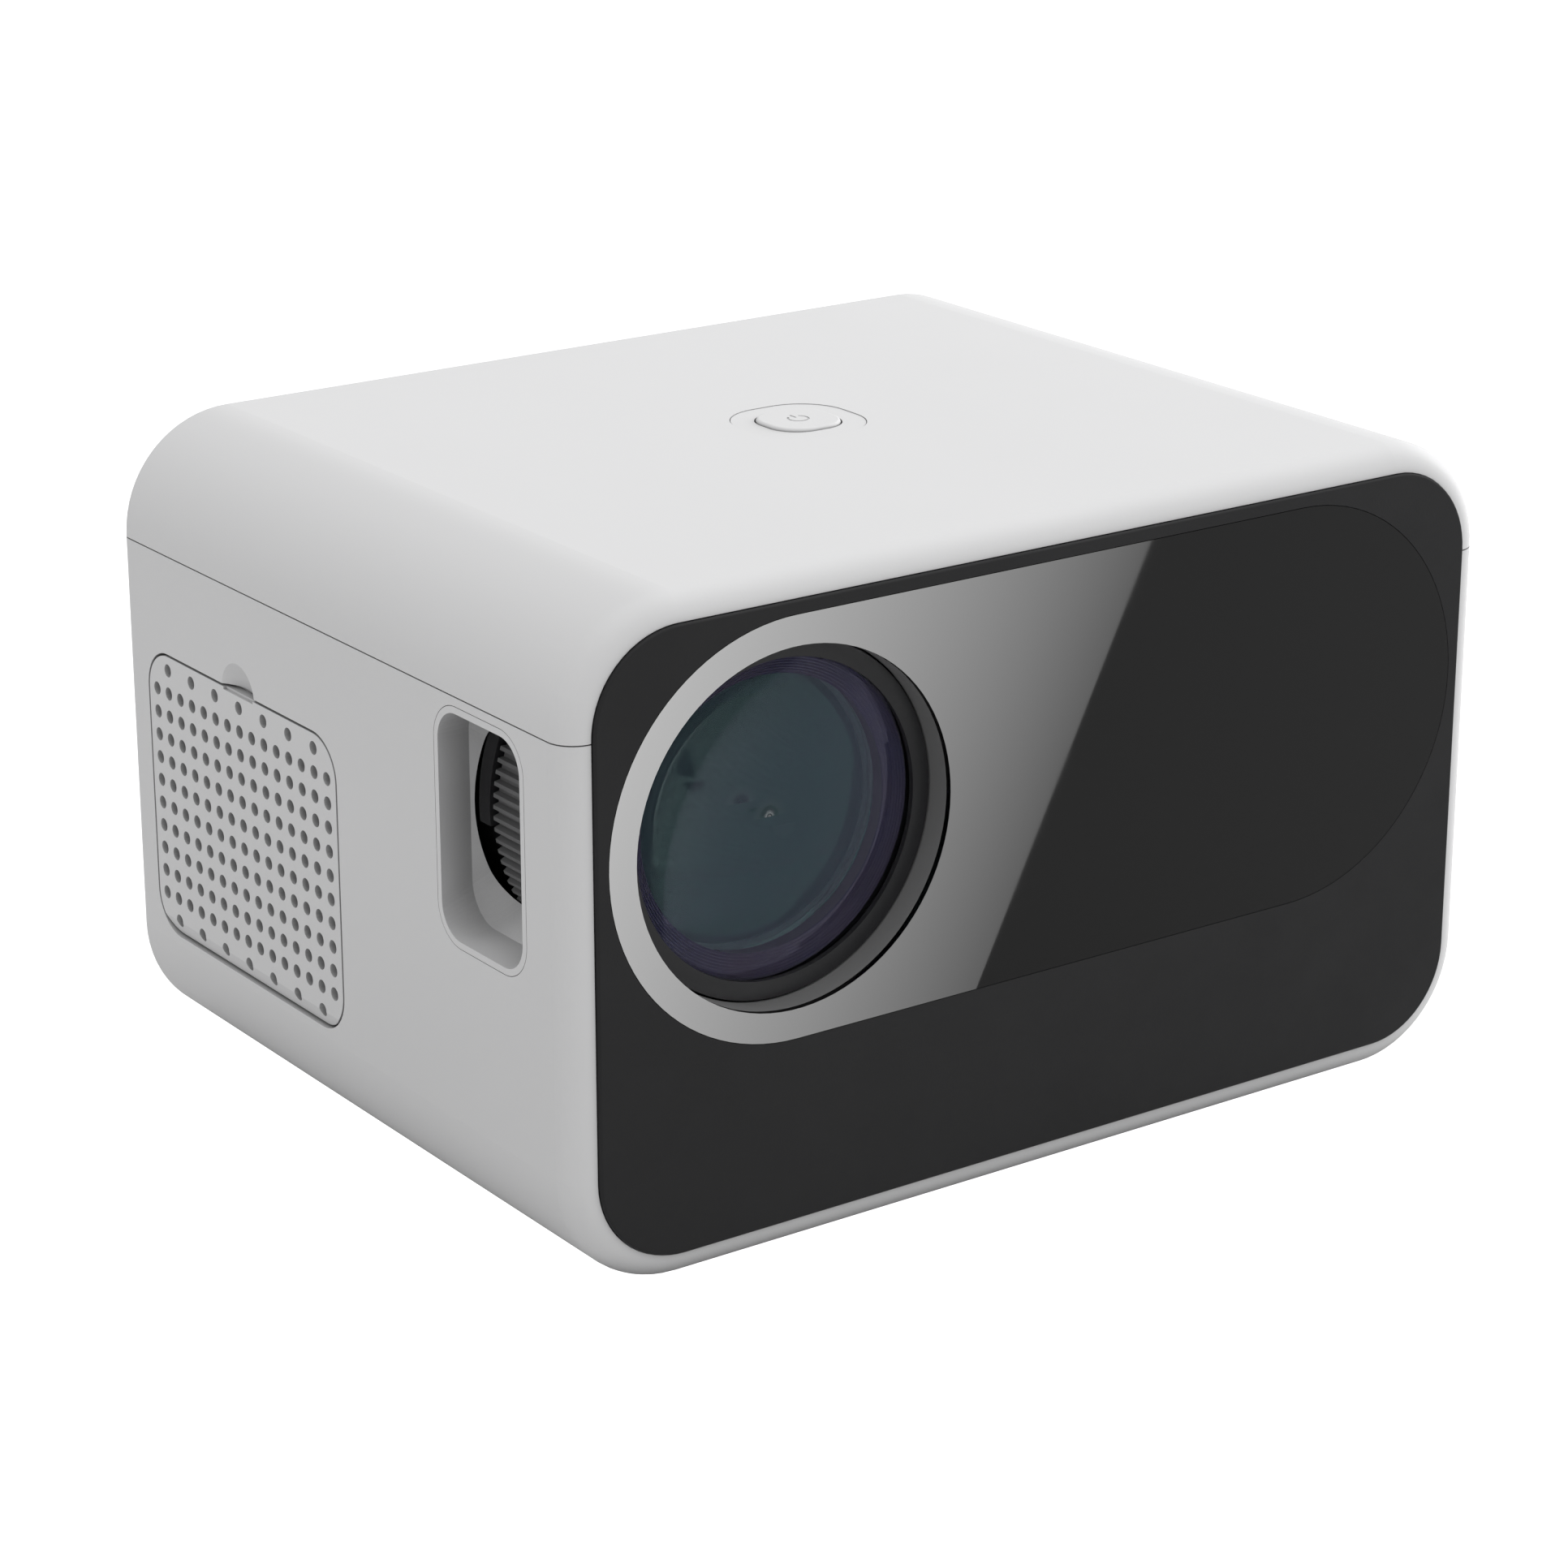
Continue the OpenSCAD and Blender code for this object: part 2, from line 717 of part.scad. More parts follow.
module front_glass() {
    color([0.1, 0.1, 0.11]) difference() {
        y_slab(y_plate, y_plate + glass_t - 0.05, 0, glass_z) round_rect(glass_w, glass_h, glass_h / 2 - eps);
        y_rod(lens_x, lens_z, lens_hole_r, y_plate - 1, y_plate + plate_t);
    }
}

// Short tube that lines the lens opening, with a lip behind the capsule
module lens_hood() {
    color(dark) difference() {
        union() {
            y_rod(lens_x, lens_z, lens_hole_r + hood_t - 0.1, y_plate + glass_t, y_hood + 0.6);
            y_rod(lens_x, lens_z, lens_hole_r + hood_t + hood_lip, y_front + wall + 0.1, y_hood + 0.6);
        }
        y_rod(lens_x, lens_z, lens_hole_r, y_plate, y_hood + 2);
    }
}

// ---------- focus window ----------

// Scoop that leads a finger to the ring: it opens backwards as it goes in
module pocket(grow, depth) {
    hull() {
        x_slab(x_left - eps, x_left + 1, window_y, window_z)
            round_rect(window_l - 2 * window_rim + 2 * grow, window_h - 2 * window_rim + 2 * grow,
                window_r - window_rim + grow, $fn = 48);
        x_slab(x_left + depth * 0.55, x_left + depth * 0.55 + 0.1, window_y + pocket_flare * 0.4, window_z)
            round_rect(window_l - 2 * window_rim + pocket_flare * 0.8 + 2 * grow,
                window_h - 2 * window_rim + 2 * grow,
                window_r + grow, $fn = 48);
        x_slab(x_left + depth - 0.1, x_left + depth, window_y + pocket_flare / 2 - 1, window_z)
            round_rect(window_l - 8 + pocket_flare + 2 * grow, window_h - 12 + 2 * grow,
                window_r + grow, $fn = 48);
    }
}

module focus_window() {
    color(white) difference() {
        union() {
            x_slab(x_left, x_left + wall + 0.2, window_y, window_z) window_outline(0);
            x_slab(x_left + wall + 0.1, x_left + wall + window_skin, window_y, window_z)
                intersection() {
                    window_outline(window_flange);
                    translate([-window_l, -window_h]) square([2 * window_l, 1.5 * window_h]);
                }
            intersection() {
                pocket(pocket_t, pocket_depth);
                translate([x_left + wall, y_front, z_base]) cube([pocket_depth, case_d, case_h]);
            }
        }
        pocket(0, pocket_depth - pocket_t);
        y_rod(lens_x, lens_z, ring_r + 0.5, y_ring_front - 14, y_ring_back + 12);
    }
}

// ---------- filter cover and exhaust ----------

// Hook behind the wall's edge, on which the cover tilts out
module cover_hook(y) {
    box([x_left + grille_t - eps, y - hook_w / 2, cover_z0 + 0.4],
        [x_left + wall + 0.2 + hook_t, y + hook_w / 2, cover_z0 + 2.4]);
    box([x_left + wall + 0.2, y - hook_w / 2, cover_z0 - 1.8],
        [x_left + wall + 0.2 + hook_t, y + hook_w / 2, cover_z0 + 2.4]);
}

module filter_cover() {
    color(white) difference() {
        union() {
            x_slab(x_left, x_left + grille_t, grille_y, grille_z) grille_outline(0);
            for (s = [-1, 1])
                translate([x_left + grille_t - eps, grille_y + s * (grille_l / 2 - filter_margin + 0.9) - 0.6,
                    grille_z - 0.9]) cube([filter_t + filter_gap, 1.2, 1.8]);
            for (s = [-1, 1]) cover_hook(grille_y + s * hook_y);
        }
        translate([0, grille_y + grille_l / 2, 0]) rotate([90, 0, 0]) linear_extrude(grille_l) polygon([
            [x_left - 1, cover_z0 - 1], [x_left + bevel_in, cover_z0 - 1], [x_left + bevel_in, cover_z0],
            [x_left, cover_z0 + bevel_up], [x_left - 1, cover_z0 + bevel_up]
        ]);
        air_holes(x_left - 1, x_left + grille_t + 1);
        translate([x_left - 1, grille_y - notch_w / 2 + 0.6, grille_z + grille_h / 2 - 0.5])
            cube([1.6, notch_w - 1.2, 1]);
    }
}

module dust_filter() {
    color([0.55, 0.56, 0.57])
        x_slab(x_left + grille_t + filter_gap, x_left + grille_t + filter_gap + filter_t, grille_y,
            grille_z)
        round_rect(grille_l - 2 * filter_margin, grille_h - 2 * filter_margin, grille_r - 2.5);
}

module exhaust_grille() {
    color(white) difference() {
        x_slab(x_right - grille_t, x_right, grille_y, grille_z) grille_outline(grille_gap - 0.1);
        air_holes(x_right - grille_t - 1, x_right + 1);
    }
}

// ---------- lens ----------

// Teeth of the focus ring, flat-topped
module ring_outline() {
    step = 360 / teeth;
    root = ring_r - tooth_h;
    polygon([for (i = [0 : teeth - 1], k = [0 : 3])
        let (a = step * (i + [0, 0.34, 0.5, 0.84][k]), r = k < 2 ? root : ring_r) [r * cos(a), r * sin(a)]]);
}

// Groove inside the ring that a pin follows: it moves along Y as it goes round
module pin_groove(angle) {
    steps = 20;
    over = 4.5;
    half = pin_r + pin_clear;
    section = [[fixed_out, -half], [ring_in + 1.1, -half], [ring_in + 1.1, half], [fixed_out, half]];
    points = [for (i = [0 : steps], s = section)
        let (turn = -focus_turn - over + (2 * focus_turn + 2 * over) * i / steps, a = angle + turn)
            [lens_x + s[0] * cos(a), y_pin - focus_travel * turn / focus_turn + s[1],
                lens_z + s[0] * sin(a)]];
    polyhedron(points, tube_faces(4, steps));
}

module focus_ring() {
    color(black) difference() {
        y_slab(y_ring_front, y_ring_back, lens_x, lens_z) ring_outline();
        y_rod(lens_x, lens_z, ring_in, y_ring_front - 1, y_ring_back + 1);
        for (a = pin_angles) pin_groove(a);
    }
}

// Fixed barrel: guide slots, the flange on the light engine and the part collar behind the ring
module fixed_barrel() {
    color(dark) difference() {
        union() {
            lens_tube(fixed_out, fixed_in, y_fixed_front, y_engine - 0.1);
            difference() {
                y_slab(y_engine - 0.1 - flange_t, y_engine - 0.1, lens_x, lens_z)
                    round_rect(flange_w, flange_w, 8);
                y_rod(lens_x, lens_z, fixed_in, y_engine - 10, y_engine + 1);
            }
            intersection() {
                lens_tube(collar_r, fixed_in, y_ring_back + 0.6, y_ring_back + 4);
                translate([lens_x - 50, y_ring_back, lens_z - 3]) cube([100, 6, 50]);
            }
        }
        for (a = pin_angles)
            translate([lens_x, y_pin, lens_z]) rotate([0, -a, 0])
                translate([0, -focus_travel - pin_r - pin_clear, -pin_r - pin_clear])
                    cube([fixed_out + 1, 2 * (focus_travel + pin_r + pin_clear), 2 * (pin_r + pin_clear)]);
        for (p = flange_holes)
            y_rod(p[0], p[1], screw_r + 0.2, y_engine - flange_t - 1, y_engine + 1);
    }
}

module guide_pins() {
    color(metal) for (a = pin_angles)
        translate([lens_x, y_pin, lens_z]) rotate([0, 90 - a, 0])
            translate([0, 0, slide_r - slide_t + 0.1])
                cylinder(r = pin_r, h = ring_in + 0.8 - slide_r + slide_t - 0.1, $fn = 24);
}

module sliding_barrel() {
    y_end = y_ring_back + 22;
    color(black) difference() {
        union() {
            lens_tube(slide_r, slide_r - slide_t, y_head_back - 1, y_end);
            lens_tube(head_r, front_lens_r + 0.1, y_hood, y_head_back);
            lens_tube(head_r, second_lens_r, y_head_back - 1.5, y_head_back);
            lens_tube(slide_r - 0.5, second_lens_r, y_head_back - 1.5, second_y + 4.2);
            lens_tube(head_r, front_lens_r - 0.9, y_hood, y_hood + 1);
        }
        for (a = pin_angles)
            translate([lens_x, y_pin, lens_z]) rotate([0, 90 - a, 0])
                cylinder(r = pin_r + screw_clear, h = slide_r + 1);
    }
}

// Radius of the sphere that bulges by b over a disc of radius r
function ball(r, b) = (r * r + b * b) / (2 * b);

// Lens with a spherical bulge on each side of a rim that runs from y0 to y1
module lens_element(r, y0, y1, bulge0, bulge1) {
    ball0 = ball(r, bulge0);
    ball1 = ball(r, bulge1);
    turned() intersection() {
        translate([0, y0 - bulge0 - 1]) square([r, y1 - y0 + bulge0 + bulge1 + 2]);
        translate([0, y0 - bulge0 + ball0]) circle(ball0, $fn = 720);
        translate([0, y1 + bulge1 - ball1]) circle(ball1, $fn = 720);
    }
}

module front_lens() {
    color(clear_glass) lens_element(front_lens_r - 0.1, front_rim_y, front_rim_y + 1.4, front_bulge, 2);
}

// Black ring of fine ribs between the front and second elements
module ribbed_retainer() {
    y_web = y_head_back - 1.5;
    ribs = floor((front_lens_r - second_lens_r - 0.6) / rib_pitch);
    slope = 1.7 / ribs;
    color(black) turned() polygon(concat(
        [[second_lens_r, y_web - eps]],
        [for (i = [0 : ribs - 1], k = [0, 1])
            [second_lens_r + (i + 0.7 * k) * rib_pitch, y_web - 0.6 - i * slope - 0.25 * k]],
        [[second_lens_r + ribs * rib_pitch, y_web - eps]]
    ));
}

module second_lens() {
    color(clear_glass) lens_element(second_lens_r - 0.1, second_y, second_y + 4, 3.6, 1.5);
}

module spacer_tube() {
    color(black) {
        lens_tube(slide_r - slide_t - 0.1, slide_r - slide_t - 2.4, second_y + 4.3, y_ring_back + 9.8);
        lens_tube(slide_r - slide_t - 1, second_lens_r - 1.2, second_y + 4.3, second_y + 5.8);
    }
}

module rear_lens() {
    color(clear_glass) lens_element(rear_lens_r, y_ring_back + 11.5, y_ring_back + 15, 1.4, 3);
}

module rear_retainer() {
    color(black) lens_tube(slide_r - slide_t - 0.1, rear_lens_r + 0.1, y_ring_back + 10, y_ring_back + 20);
}

// ---------- light engine ----------

cavity_w = 2 * (engine_half - engine_wall);
lid_t = 2;
optic_w = cavity_w + 2 * (slot_depth - slot_clear);
optic_z0 = engine_z0 + engine_wall - slot_depth + slot_clear;
optic_z1 = engine_z1 - lid_t - 0.2;
mirror_l = 76;
mirror_t = 2;
mirror_back = 8.5;
optics = [field_x, lcd_x, collimator_x, heat_glass_x, condenser_x];
optic_ts = [optic_t, lcd_t, optic_t, optic_t, optic_t];
lid_screws = [for (x = [lens_x + 31.5, engine_x1 - 4.6],
    y = [y_engine + 5, y_engine + 2 * engine_half - 5]) [x, y]];

// Plan outline of the light engine, moved inwards by inset: the corner behind the mirror is cut off
module engine_plan(inset) {
    cut = mirror_back - inset * sqrt(2);
    polygon([
        [engine_x0 + inset, y_engine + inset],
        [engine_x1 - inset, y_engine + inset],
        [engine_x1 - inset, y_engine + 2 * engine_half - inset],
        [lens_x + engine_half - inset - cut, y_engine + 2 * engine_half - inset],
        [engine_x0 + inset, engine_y + engine_x0 + inset - lens_x + cut]
    ]);
}

// Pillars inside the corners, for the lid's screws
module lid_pillars() {
    intersection() {
        translate([0, 0, engine_z0 + 1]) linear_extrude(2 * engine_half - lid_t - 1) engine_plan(0.5);
        for (p = lid_screws)
            translate([p[0], p[1], engine_z0 + 1]) cylinder(r = 3.6, h = 2 * engine_half - lid_t - 1);
    }
}

module engine_housing() {
    color(black) difference() {
        union() {
            difference() {
                translate([0, 0, engine_z0]) linear_extrude(2 * engine_half - lid_t) engine_plan(0);
                translate([0, 0, engine_z0 + engine_wall]) linear_extrude(2 * engine_half)
                    engine_plan(engine_wall);
            }
            lid_pillars();
            for (p = ears)
                translate([p[0] - ear_l / 2, p[1] - (p[1] < engine_y ? ear_l / 2 : 5.6), engine_z0])
                    cube([ear_l, ear_l + 1.2, ear_t]);
        }
        for (i = [0 : len(optics) - 1])
            translate([optics[i] - slot_clear, engine_y - cavity_w / 2 - slot_depth,
                engine_z0 + engine_wall - slot_depth])
                cube([optic_ts[i] + 2 * slot_clear, cavity_w + 2 * slot_depth, 2 * engine_half]);
        y_rod(lens_x, lens_z, fixed_in, y_engine - 1, y_engine + engine_wall + 1);
        for (p = flange_holes)
            y_rod(p[0], p[1], screw_r + screw_clear, y_engine - 1, y_engine + engine_wall + 1);
        translate([engine_x1 - engine_wall - 1, engine_y - led_window / 2, lens_z - led_window / 2])
            cube([engine_wall + 2, led_window, led_window]);
        for (p = sink_holes)
            translate([engine_x1 - engine_wall - 1, p[0], p[1]]) rotate([0, 90, 0])
                cylinder(r = screw_r + screw_clear, h = 10);
        for (p = lid_screws)
            translate([p[0], p[1], engine_z1 - 14]) cylinder(r = screw_r + screw_clear, h = 14);
        for (p = ears)
            translate([p[0], p[1], engine_z0 - 1]) cylinder(r = screw_r + 0.2, h = ear_t + 2);
        translate([lcd_x - 1, engine_y - 13, engine_z0 - 1]) cube([lcd_t + 2, 26, engine_wall + 2]);
    }
}

module engine_lid() {
    color(dark) difference() {
        translate([0, 0, engine_z1 - lid_t]) linear_extrude(lid_t) engine_plan(0);
        for (p = lid_screws)
            translate([p[0], p[1], engine_z1 - lid_t - 1]) cylinder(r = screw_r + 0.2, h = lid_t + 2);
    }
}

module folding_mirror() {
    color([0.8, 0.83, 0.86]) translate([lens_x, engine_y, engine_z0 + engine_wall]) rotate([0, 0, 45])
        translate([-mirror_l / 2, 0, 0])
            cube([mirror_l, mirror_t, 2 * engine_half - engine_wall - lid_t - 0.2]);
}

// Square optical plate standing in a slot at x
module optic_plate(x, t) {
    box([x, engine_y - optic_w / 2, optic_z0], [x + t, engine_y + optic_w / 2, optic_z1]);
}

// Shallow concentric grooves, cut into a plate's face on the axis at x
module fresnel_grooves(x) {
    for (r = [6 : 4 : 30])
        translate([x, engine_y, lens_z]) rotate([0, 90, 0]) difference() {
            cylinder(r = r + 0.8, h = 0.5);
            translate([0, 0, -1]) cylinder(r = r, h = 3);
        }
}

module field_lens() {
    color(clear_glass) difference() {
        optic_plate(field_x, optic_t);
        fresnel_grooves(field_x - 0.2);
    }
}

module lcd_panel() {
    color(dark) difference() {
        optic_plate(lcd_x, lcd_t);
        for (x = [lcd_x - 1, lcd_x + lcd_t - 0.8])
            translate([x, engine_y - lcd_w / 2, lens_z - lcd_h / 2]) cube([1.8, lcd_w, lcd_h]);
    }
}

module collimator_lens() {
    color(clear_glass) difference() {
        optic_plate(collimator_x, optic_t);
        fresnel_grooves(collimator_x - 0.2);
    }
}

module heat_glass() {
    color(clear_glass) optic_plate(heat_glass_x, optic_t);
}

module condenser_lens() {
    dome = ball(condenser_r, condenser_t);
    color(clear_glass) union() {
        optic_plate(condenser_x, optic_t);
        translate([condenser_x + optic_t, engine_y, lens_z]) rotate([0, 90, 0]) rotate_extrude()
            intersection() {
            translate([0, -eps]) square([condenser_r + 1, condenser_t + 1]);
            translate([0, condenser_t - dome]) circle(dome, $fn = 720);
        }
    }
}

sink_w = 58;
sink_screw = 25.5;
sink_holes = [for (sy = [-1, 1], sz = [-1, 1]) [engine_y + sy * sink_screw, lens_z + sz * sink_screw]];

module led_module() {
    color([0.85, 0.86, 0.84]) box([engine_x1 + 0.1, engine_y - led_size / 2, lens_z - led_size / 2],
        [engine_x1 + 0.1 + led_t, engine_y + led_size / 2, lens_z + led_size / 2]);
    color([0.95, 0.85, 0.3])
        box([engine_x1 - 1.2, engine_y - 9, lens_z - 9], [engine_x1 + 0.2, engine_y + 9, lens_z + 9]);
}

module lamp_heatsink() {
    gap = (sink_w - fin_t) / (fin_count - 1);
    color(metal) difference() {
        union() {
            box([sink_x, engine_y - sink_w / 2, lens_z - sink_h / 2],
                [sink_x + sink_base, engine_y + sink_w / 2, lens_z + sink_h / 2]);
            for (i = [0 : fin_count - 1])
                translate([sink_x + sink_base - eps, engine_y - sink_w / 2 + i * gap, lens_z - sink_h / 2])
                    cube([fin_l, fin_t, sink_h]);
            for (p = sink_holes)
                translate([engine_x1 + 0.1, p[0], p[1]]) rotate([0, 90, 0])
                    cylinder(r = 3, h = sink_x - engine_x1);
        }
        for (p = sink_holes) {
            translate([engine_x1 - 1, p[0], p[1]]) rotate([0, 90, 0])
                cylinder(r = screw_r + 0.2, h = sink_base + led_t + 3);
            translate([sink_x + sink_base, p[0], p[1]]) rotate([0, 90, 0])
                cylinder(r = head_screw_r + 0.8, h = fin_l + 1);
        }
    }
}

// ---------- fan ----------

module fan_frame() {
    color(black) difference() {
        union() {
            difference() {
                x_slab(fan_x0, fan_x1, fan_y, fan_z) round_rect(fan_size, fan_size, 4);
                translate([fan_x0 - 1, fan_y, fan_z]) rotate([0, 90, 0])
                    cylinder(r = fan_hole, h = fan_t + 2);
            }
            translate([fan_x1 - 1.6, fan_y, fan_z]) rotate([0, 90, 0]) cylinder(r = fan_hub_r, h = 1.6);
            intersection() {
                for (a = [45 : 90 : 315])
                    translate([fan_x1 - 1.6, fan_y, fan_z]) rotate([a, 0, 0]) translate([0, -1.4, 0])
                        cube([1.6, 2.8, fan_size]);
                x_slab(fan_x0, fan_x1, fan_y, fan_z) round_rect(fan_size - 0.4, fan_size - 0.4, 4);
            }
            translate([fan_x0 + 3, fan_y, fan_z]) rotate([0, 90, 0]) cylinder(r = 2, h = fan_t - 4);
        }
        for (p = fan_holes)
            translate([fan_x0 - 1, p[0], p[1]]) rotate([0, 90, 0]) cylinder(r = screw_r + 0.2, h = fan_t + 2);
    }
}

module fan_impeller() {
    color(dark) translate([fan_x0 + 1.2, fan_y, fan_z]) rotate([0, 90, 0]) difference() {
        union() {
            cylinder(r = fan_hub_r, h = fan_t - 4);
            for (i = [0 : blades - 1])
                rotate([0, 0, 360 * i / blades]) translate([fan_hub_r - 1, 0, (fan_t - 4) / 2])
                    rotate([38, 0, 0])
                    translate([0, -0.7, -4.2]) cube([fan_hole - fan_hub_r - 0.4, 1.4, 8.4]);
        }
        translate([0, 0, 1.5]) cylinder(r = 2.08, h = fan_t);
    }
}

// ---------- electronics ----------

module board(x0, y0, x1, y1, holes) {
    color(board_green) difference() {
        box([x0, y0, board_z], [x1, y1, board_top]);
        for (p = holes)
            translate([p[0], p[1], board_z - 1]) cylinder(r = screw_r + 0.2, h = board_t + 2);
    }
}

module main_board() {
    board(main_x0, main_y0, main_x1, main_y1, main_holes);
}

chip_x = main_x0 + 30;
chip_y = main_y0 + 24;

module main_chips() {
    color(black) {
        box([chip_x - 9, chip_y - 9, board_top], [chip_x + 9, chip_y + 9, board_top + 1.4]);
        for (i = [0, 1])
            box([chip_x + 14, chip_y - 6 + 11 * i, board_top],
                [chip_x + 22, chip_y + 3 + 11 * i, board_top + 1.2]);
        box([chip_x - 20, chip_y - 6, board_top], [chip_x - 13, chip_y + 6, board_top + 1.1]);
    }
    color(metal) {
        box([chip_x - 19, chip_y + 12.5, board_top], [chip_x - 8, chip_y + 19, board_top + 2.2]);
        for (i = [0 : 3])
            translate([chip_x - 14 + 6 * i, main_y0 + 7, board_top]) cylinder(d = 4.6, h = 6);
    }
}

module chip_heatsink() {
    z = board_top + 1.5;
    color([0.2, 0.2, 0.21]) {
        box([chip_x - 11, chip_y - 11, z], [chip_x + 11, chip_y + 11, z + 2]);
        for (i = [0 : 6])
            translate([chip_x - 11 + i * 3.46, chip_y - 11, z + 2 - eps]) cube([1.2, 22, 7]);
    }
}

module power_board() {
    board(power_x0, power_y0, power_x1, power_y1, power_holes);
}

module power_parts() {
    z = board_top;
    color([0.85, 0.75, 0.2]) box([power_x0 + 10, power_y0 + 6, z], [power_x0 + 32, power_y0 + 24, z + 19]);
    color(black) {
        for (x = [power_x1 - 12, power_x1 - 26])
            translate([x, power_y0 + 14, z]) cylinder(d = 12, h = 22);
        translate([power_x0 + 14, power_y1 - 10, z]) cylinder(d = 10, h = 16);
    }
    color([0.75, 0.2, 0.15]) box([power_x1 - 20, power_y1 - 20, z], [power_x1 - 8, power_y1 - 14, z + 13]);
    color(metal) box([power_x0 + 22, power_y0 + 27, z], [power_x0 + 40, power_y0 + 29, z + 20]);
    color("whitesmoke") box([inlet_x - 6, power_y1 - 8, z], [inlet_x + 6, power_y1 - 2, z + 7]);
}

// Outline of a figure-of-eight mains socket
module figure_eight(w, h) {
    for (s = [-1, 1]) translate([s * (w - h) / 2, 0]) circle(d = h);
    square([w - h, h * 0.8], center = true);
}

inlet_w = 22;
inlet_h = 12;
inlet_l = 16;
inlet_hole_l = 12;

module rear_panel() {
    color(dark) difference() {
        y_slab(y_back - panel_t, y_back, panel_x, panel_z) round_rect(panel_l, panel_h, 3.9);
        y_slab(y_back - 9, y_back + 1, inlet_x, port_z + 3)
            square([inlet_w + 0.3, inlet_h + 0.3], center = true);
        y_slab(y_back - 9, y_back + 1, hdmi_x, port_z) square([hdmi_w + 0.4, hdmi_h + 0.4], center = true);
        for (x = usb_xs)
            y_slab(y_back - 9, y_back + 1, x, port_z) square([usb_w + 0.4, usb_h + 0.4], center = true);
        y_rod(jack_x, port_z, 3.7, y_back - 9, y_back + 1);
        y_rod(ir_x, port_z, 2.6, y_back - 9, y_back + 1);
    }
}

module mains_inlet() {
    color(black) difference() {
        union() {
            y_slab(y_back - inlet_l, y_back - 0.2, inlet_x, port_z + 3)
                square([inlet_w, inlet_h], center = true);
            for (s = [-1, 1])
                y_slab(y_back - panel_t - 1.6, y_back - panel_t - 0.1,
                    inlet_x + s * (inlet_w / 2 + 1.5), port_z + 3)
                    square([5, inlet_h], center = true);
        }
        y_slab(y_back - inlet_hole_l, y_back + 1, inlet_x, port_z + 3) figure_eight(16.4, 8.6);
    }
    color(metal) for (s = [-1, 1])
        y_rod(inlet_x + s * 3.9, port_z + 3, 1.15, y_back - inlet_hole_l - eps, y_back - 2.5);
}

hdmi_w = 15;
hdmi_h = 6.2;
hdmi_l = 13;
usb_w = 13.2;
usb_h = 6.6;
usb_l = 15;

module hdmi_socket() {
    y_in = y_back - hdmi_l + 1;
    color(metal) difference() {
        y_slab(y_back - hdmi_l, y_back - 0.2, hdmi_x, port_z)
            polygon([[-hdmi_w / 2, hdmi_h / 2], [-hdmi_w / 2, -0.6], [-hdmi_w / 2 + 2.4, -hdmi_h / 2],
                [hdmi_w / 2 - 2.4, -hdmi_h / 2], [hdmi_w / 2, -0.6], [hdmi_w / 2, hdmi_h / 2]]);
        y_slab(y_in, y_back + 1, hdmi_x, port_z)
            polygon([[-hdmi_w / 2 + 0.4, hdmi_h / 2 - 0.4], [-hdmi_w / 2 + 0.4, -0.5],
                [-hdmi_w / 2 + 2.6, -hdmi_h / 2 + 0.4],
                [hdmi_w / 2 - 2.6, -hdmi_h / 2 + 0.4], [hdmi_w / 2 - 0.4, -0.5],
                    [hdmi_w / 2 - 0.4, hdmi_h / 2 - 0.4]]);
    }
    color(black) box([hdmi_x - 5.5, y_in - eps, port_z - 0.3], [hdmi_x + 5.5, y_back - 5, port_z + 0.7]);
    for (s = [-1, 1])
        color(metal) box([hdmi_x + s * 5 - 0.6, y_back - hdmi_l + 2, board_top],
            [hdmi_x + s * 5 + 0.6, y_back - hdmi_l + 5, port_z - hdmi_h / 2 + 0.3]);
}

module usb_sockets() {
    y_in = y_back - usb_l + 1;
    for (x = usb_xs) {
        color(metal) difference() {
            box([x - usb_w / 2, y_back - usb_l, port_z - usb_h / 2],
                [x + usb_w / 2, y_back - 0.2, port_z + usb_h / 2]);
            box([x - usb_w / 2 + 0.4, y_in, port_z - usb_h / 2 + 0.4],
                [x + usb_w / 2 - 0.4, y_back + 1, port_z + usb_h / 2 - 0.4]);
        }
        color("whitesmoke") box([x - 5.6, y_in - eps, port_z + 0.7], [x + 5.6, y_back - 5, port_z + 2.4]);
        color(metal) for (s = [-1, 1])
            box([x + s * 5 - 0.6, y_back - usb_l + 2, board_top],
                [x + s * 5 + 0.6, y_back - usb_l + 5, port_z - usb_h / 2 + 0.3]);
    }
}

module av_jack() {
    color(black) difference() {
        union() {
            box([jack_x - 3.5, y_back - jack_l, board_top],
                [jack_x + 3.5, y_back - panel_t - 0.2, port_z + 3.5]);
            y_rod(jack_x, port_z, 3.4, y_back - panel_t - 1, y_back - 0.2);
        }
        y_rod(jack_x, port_z, jack_r, y_back - jack_l + 1.5, y_back + 1);
    }
}

module ir_receiver() {
    color(black) {
        box([ir_x - 2.6, y_back - 8, board_top], [ir_x + 2.6, y_back - 4, port_z + 3]);
        intersection() {
            translate([ir_x, y_back - 4, port_z]) sphere(2.3);
            translate([ir_x - 3, y_back - 4.5, port_z - 3]) cube([6, 4, 6]);
        }
    }
}

// ---------- speaker ----------

speaker_z = z_floor + 0.1;

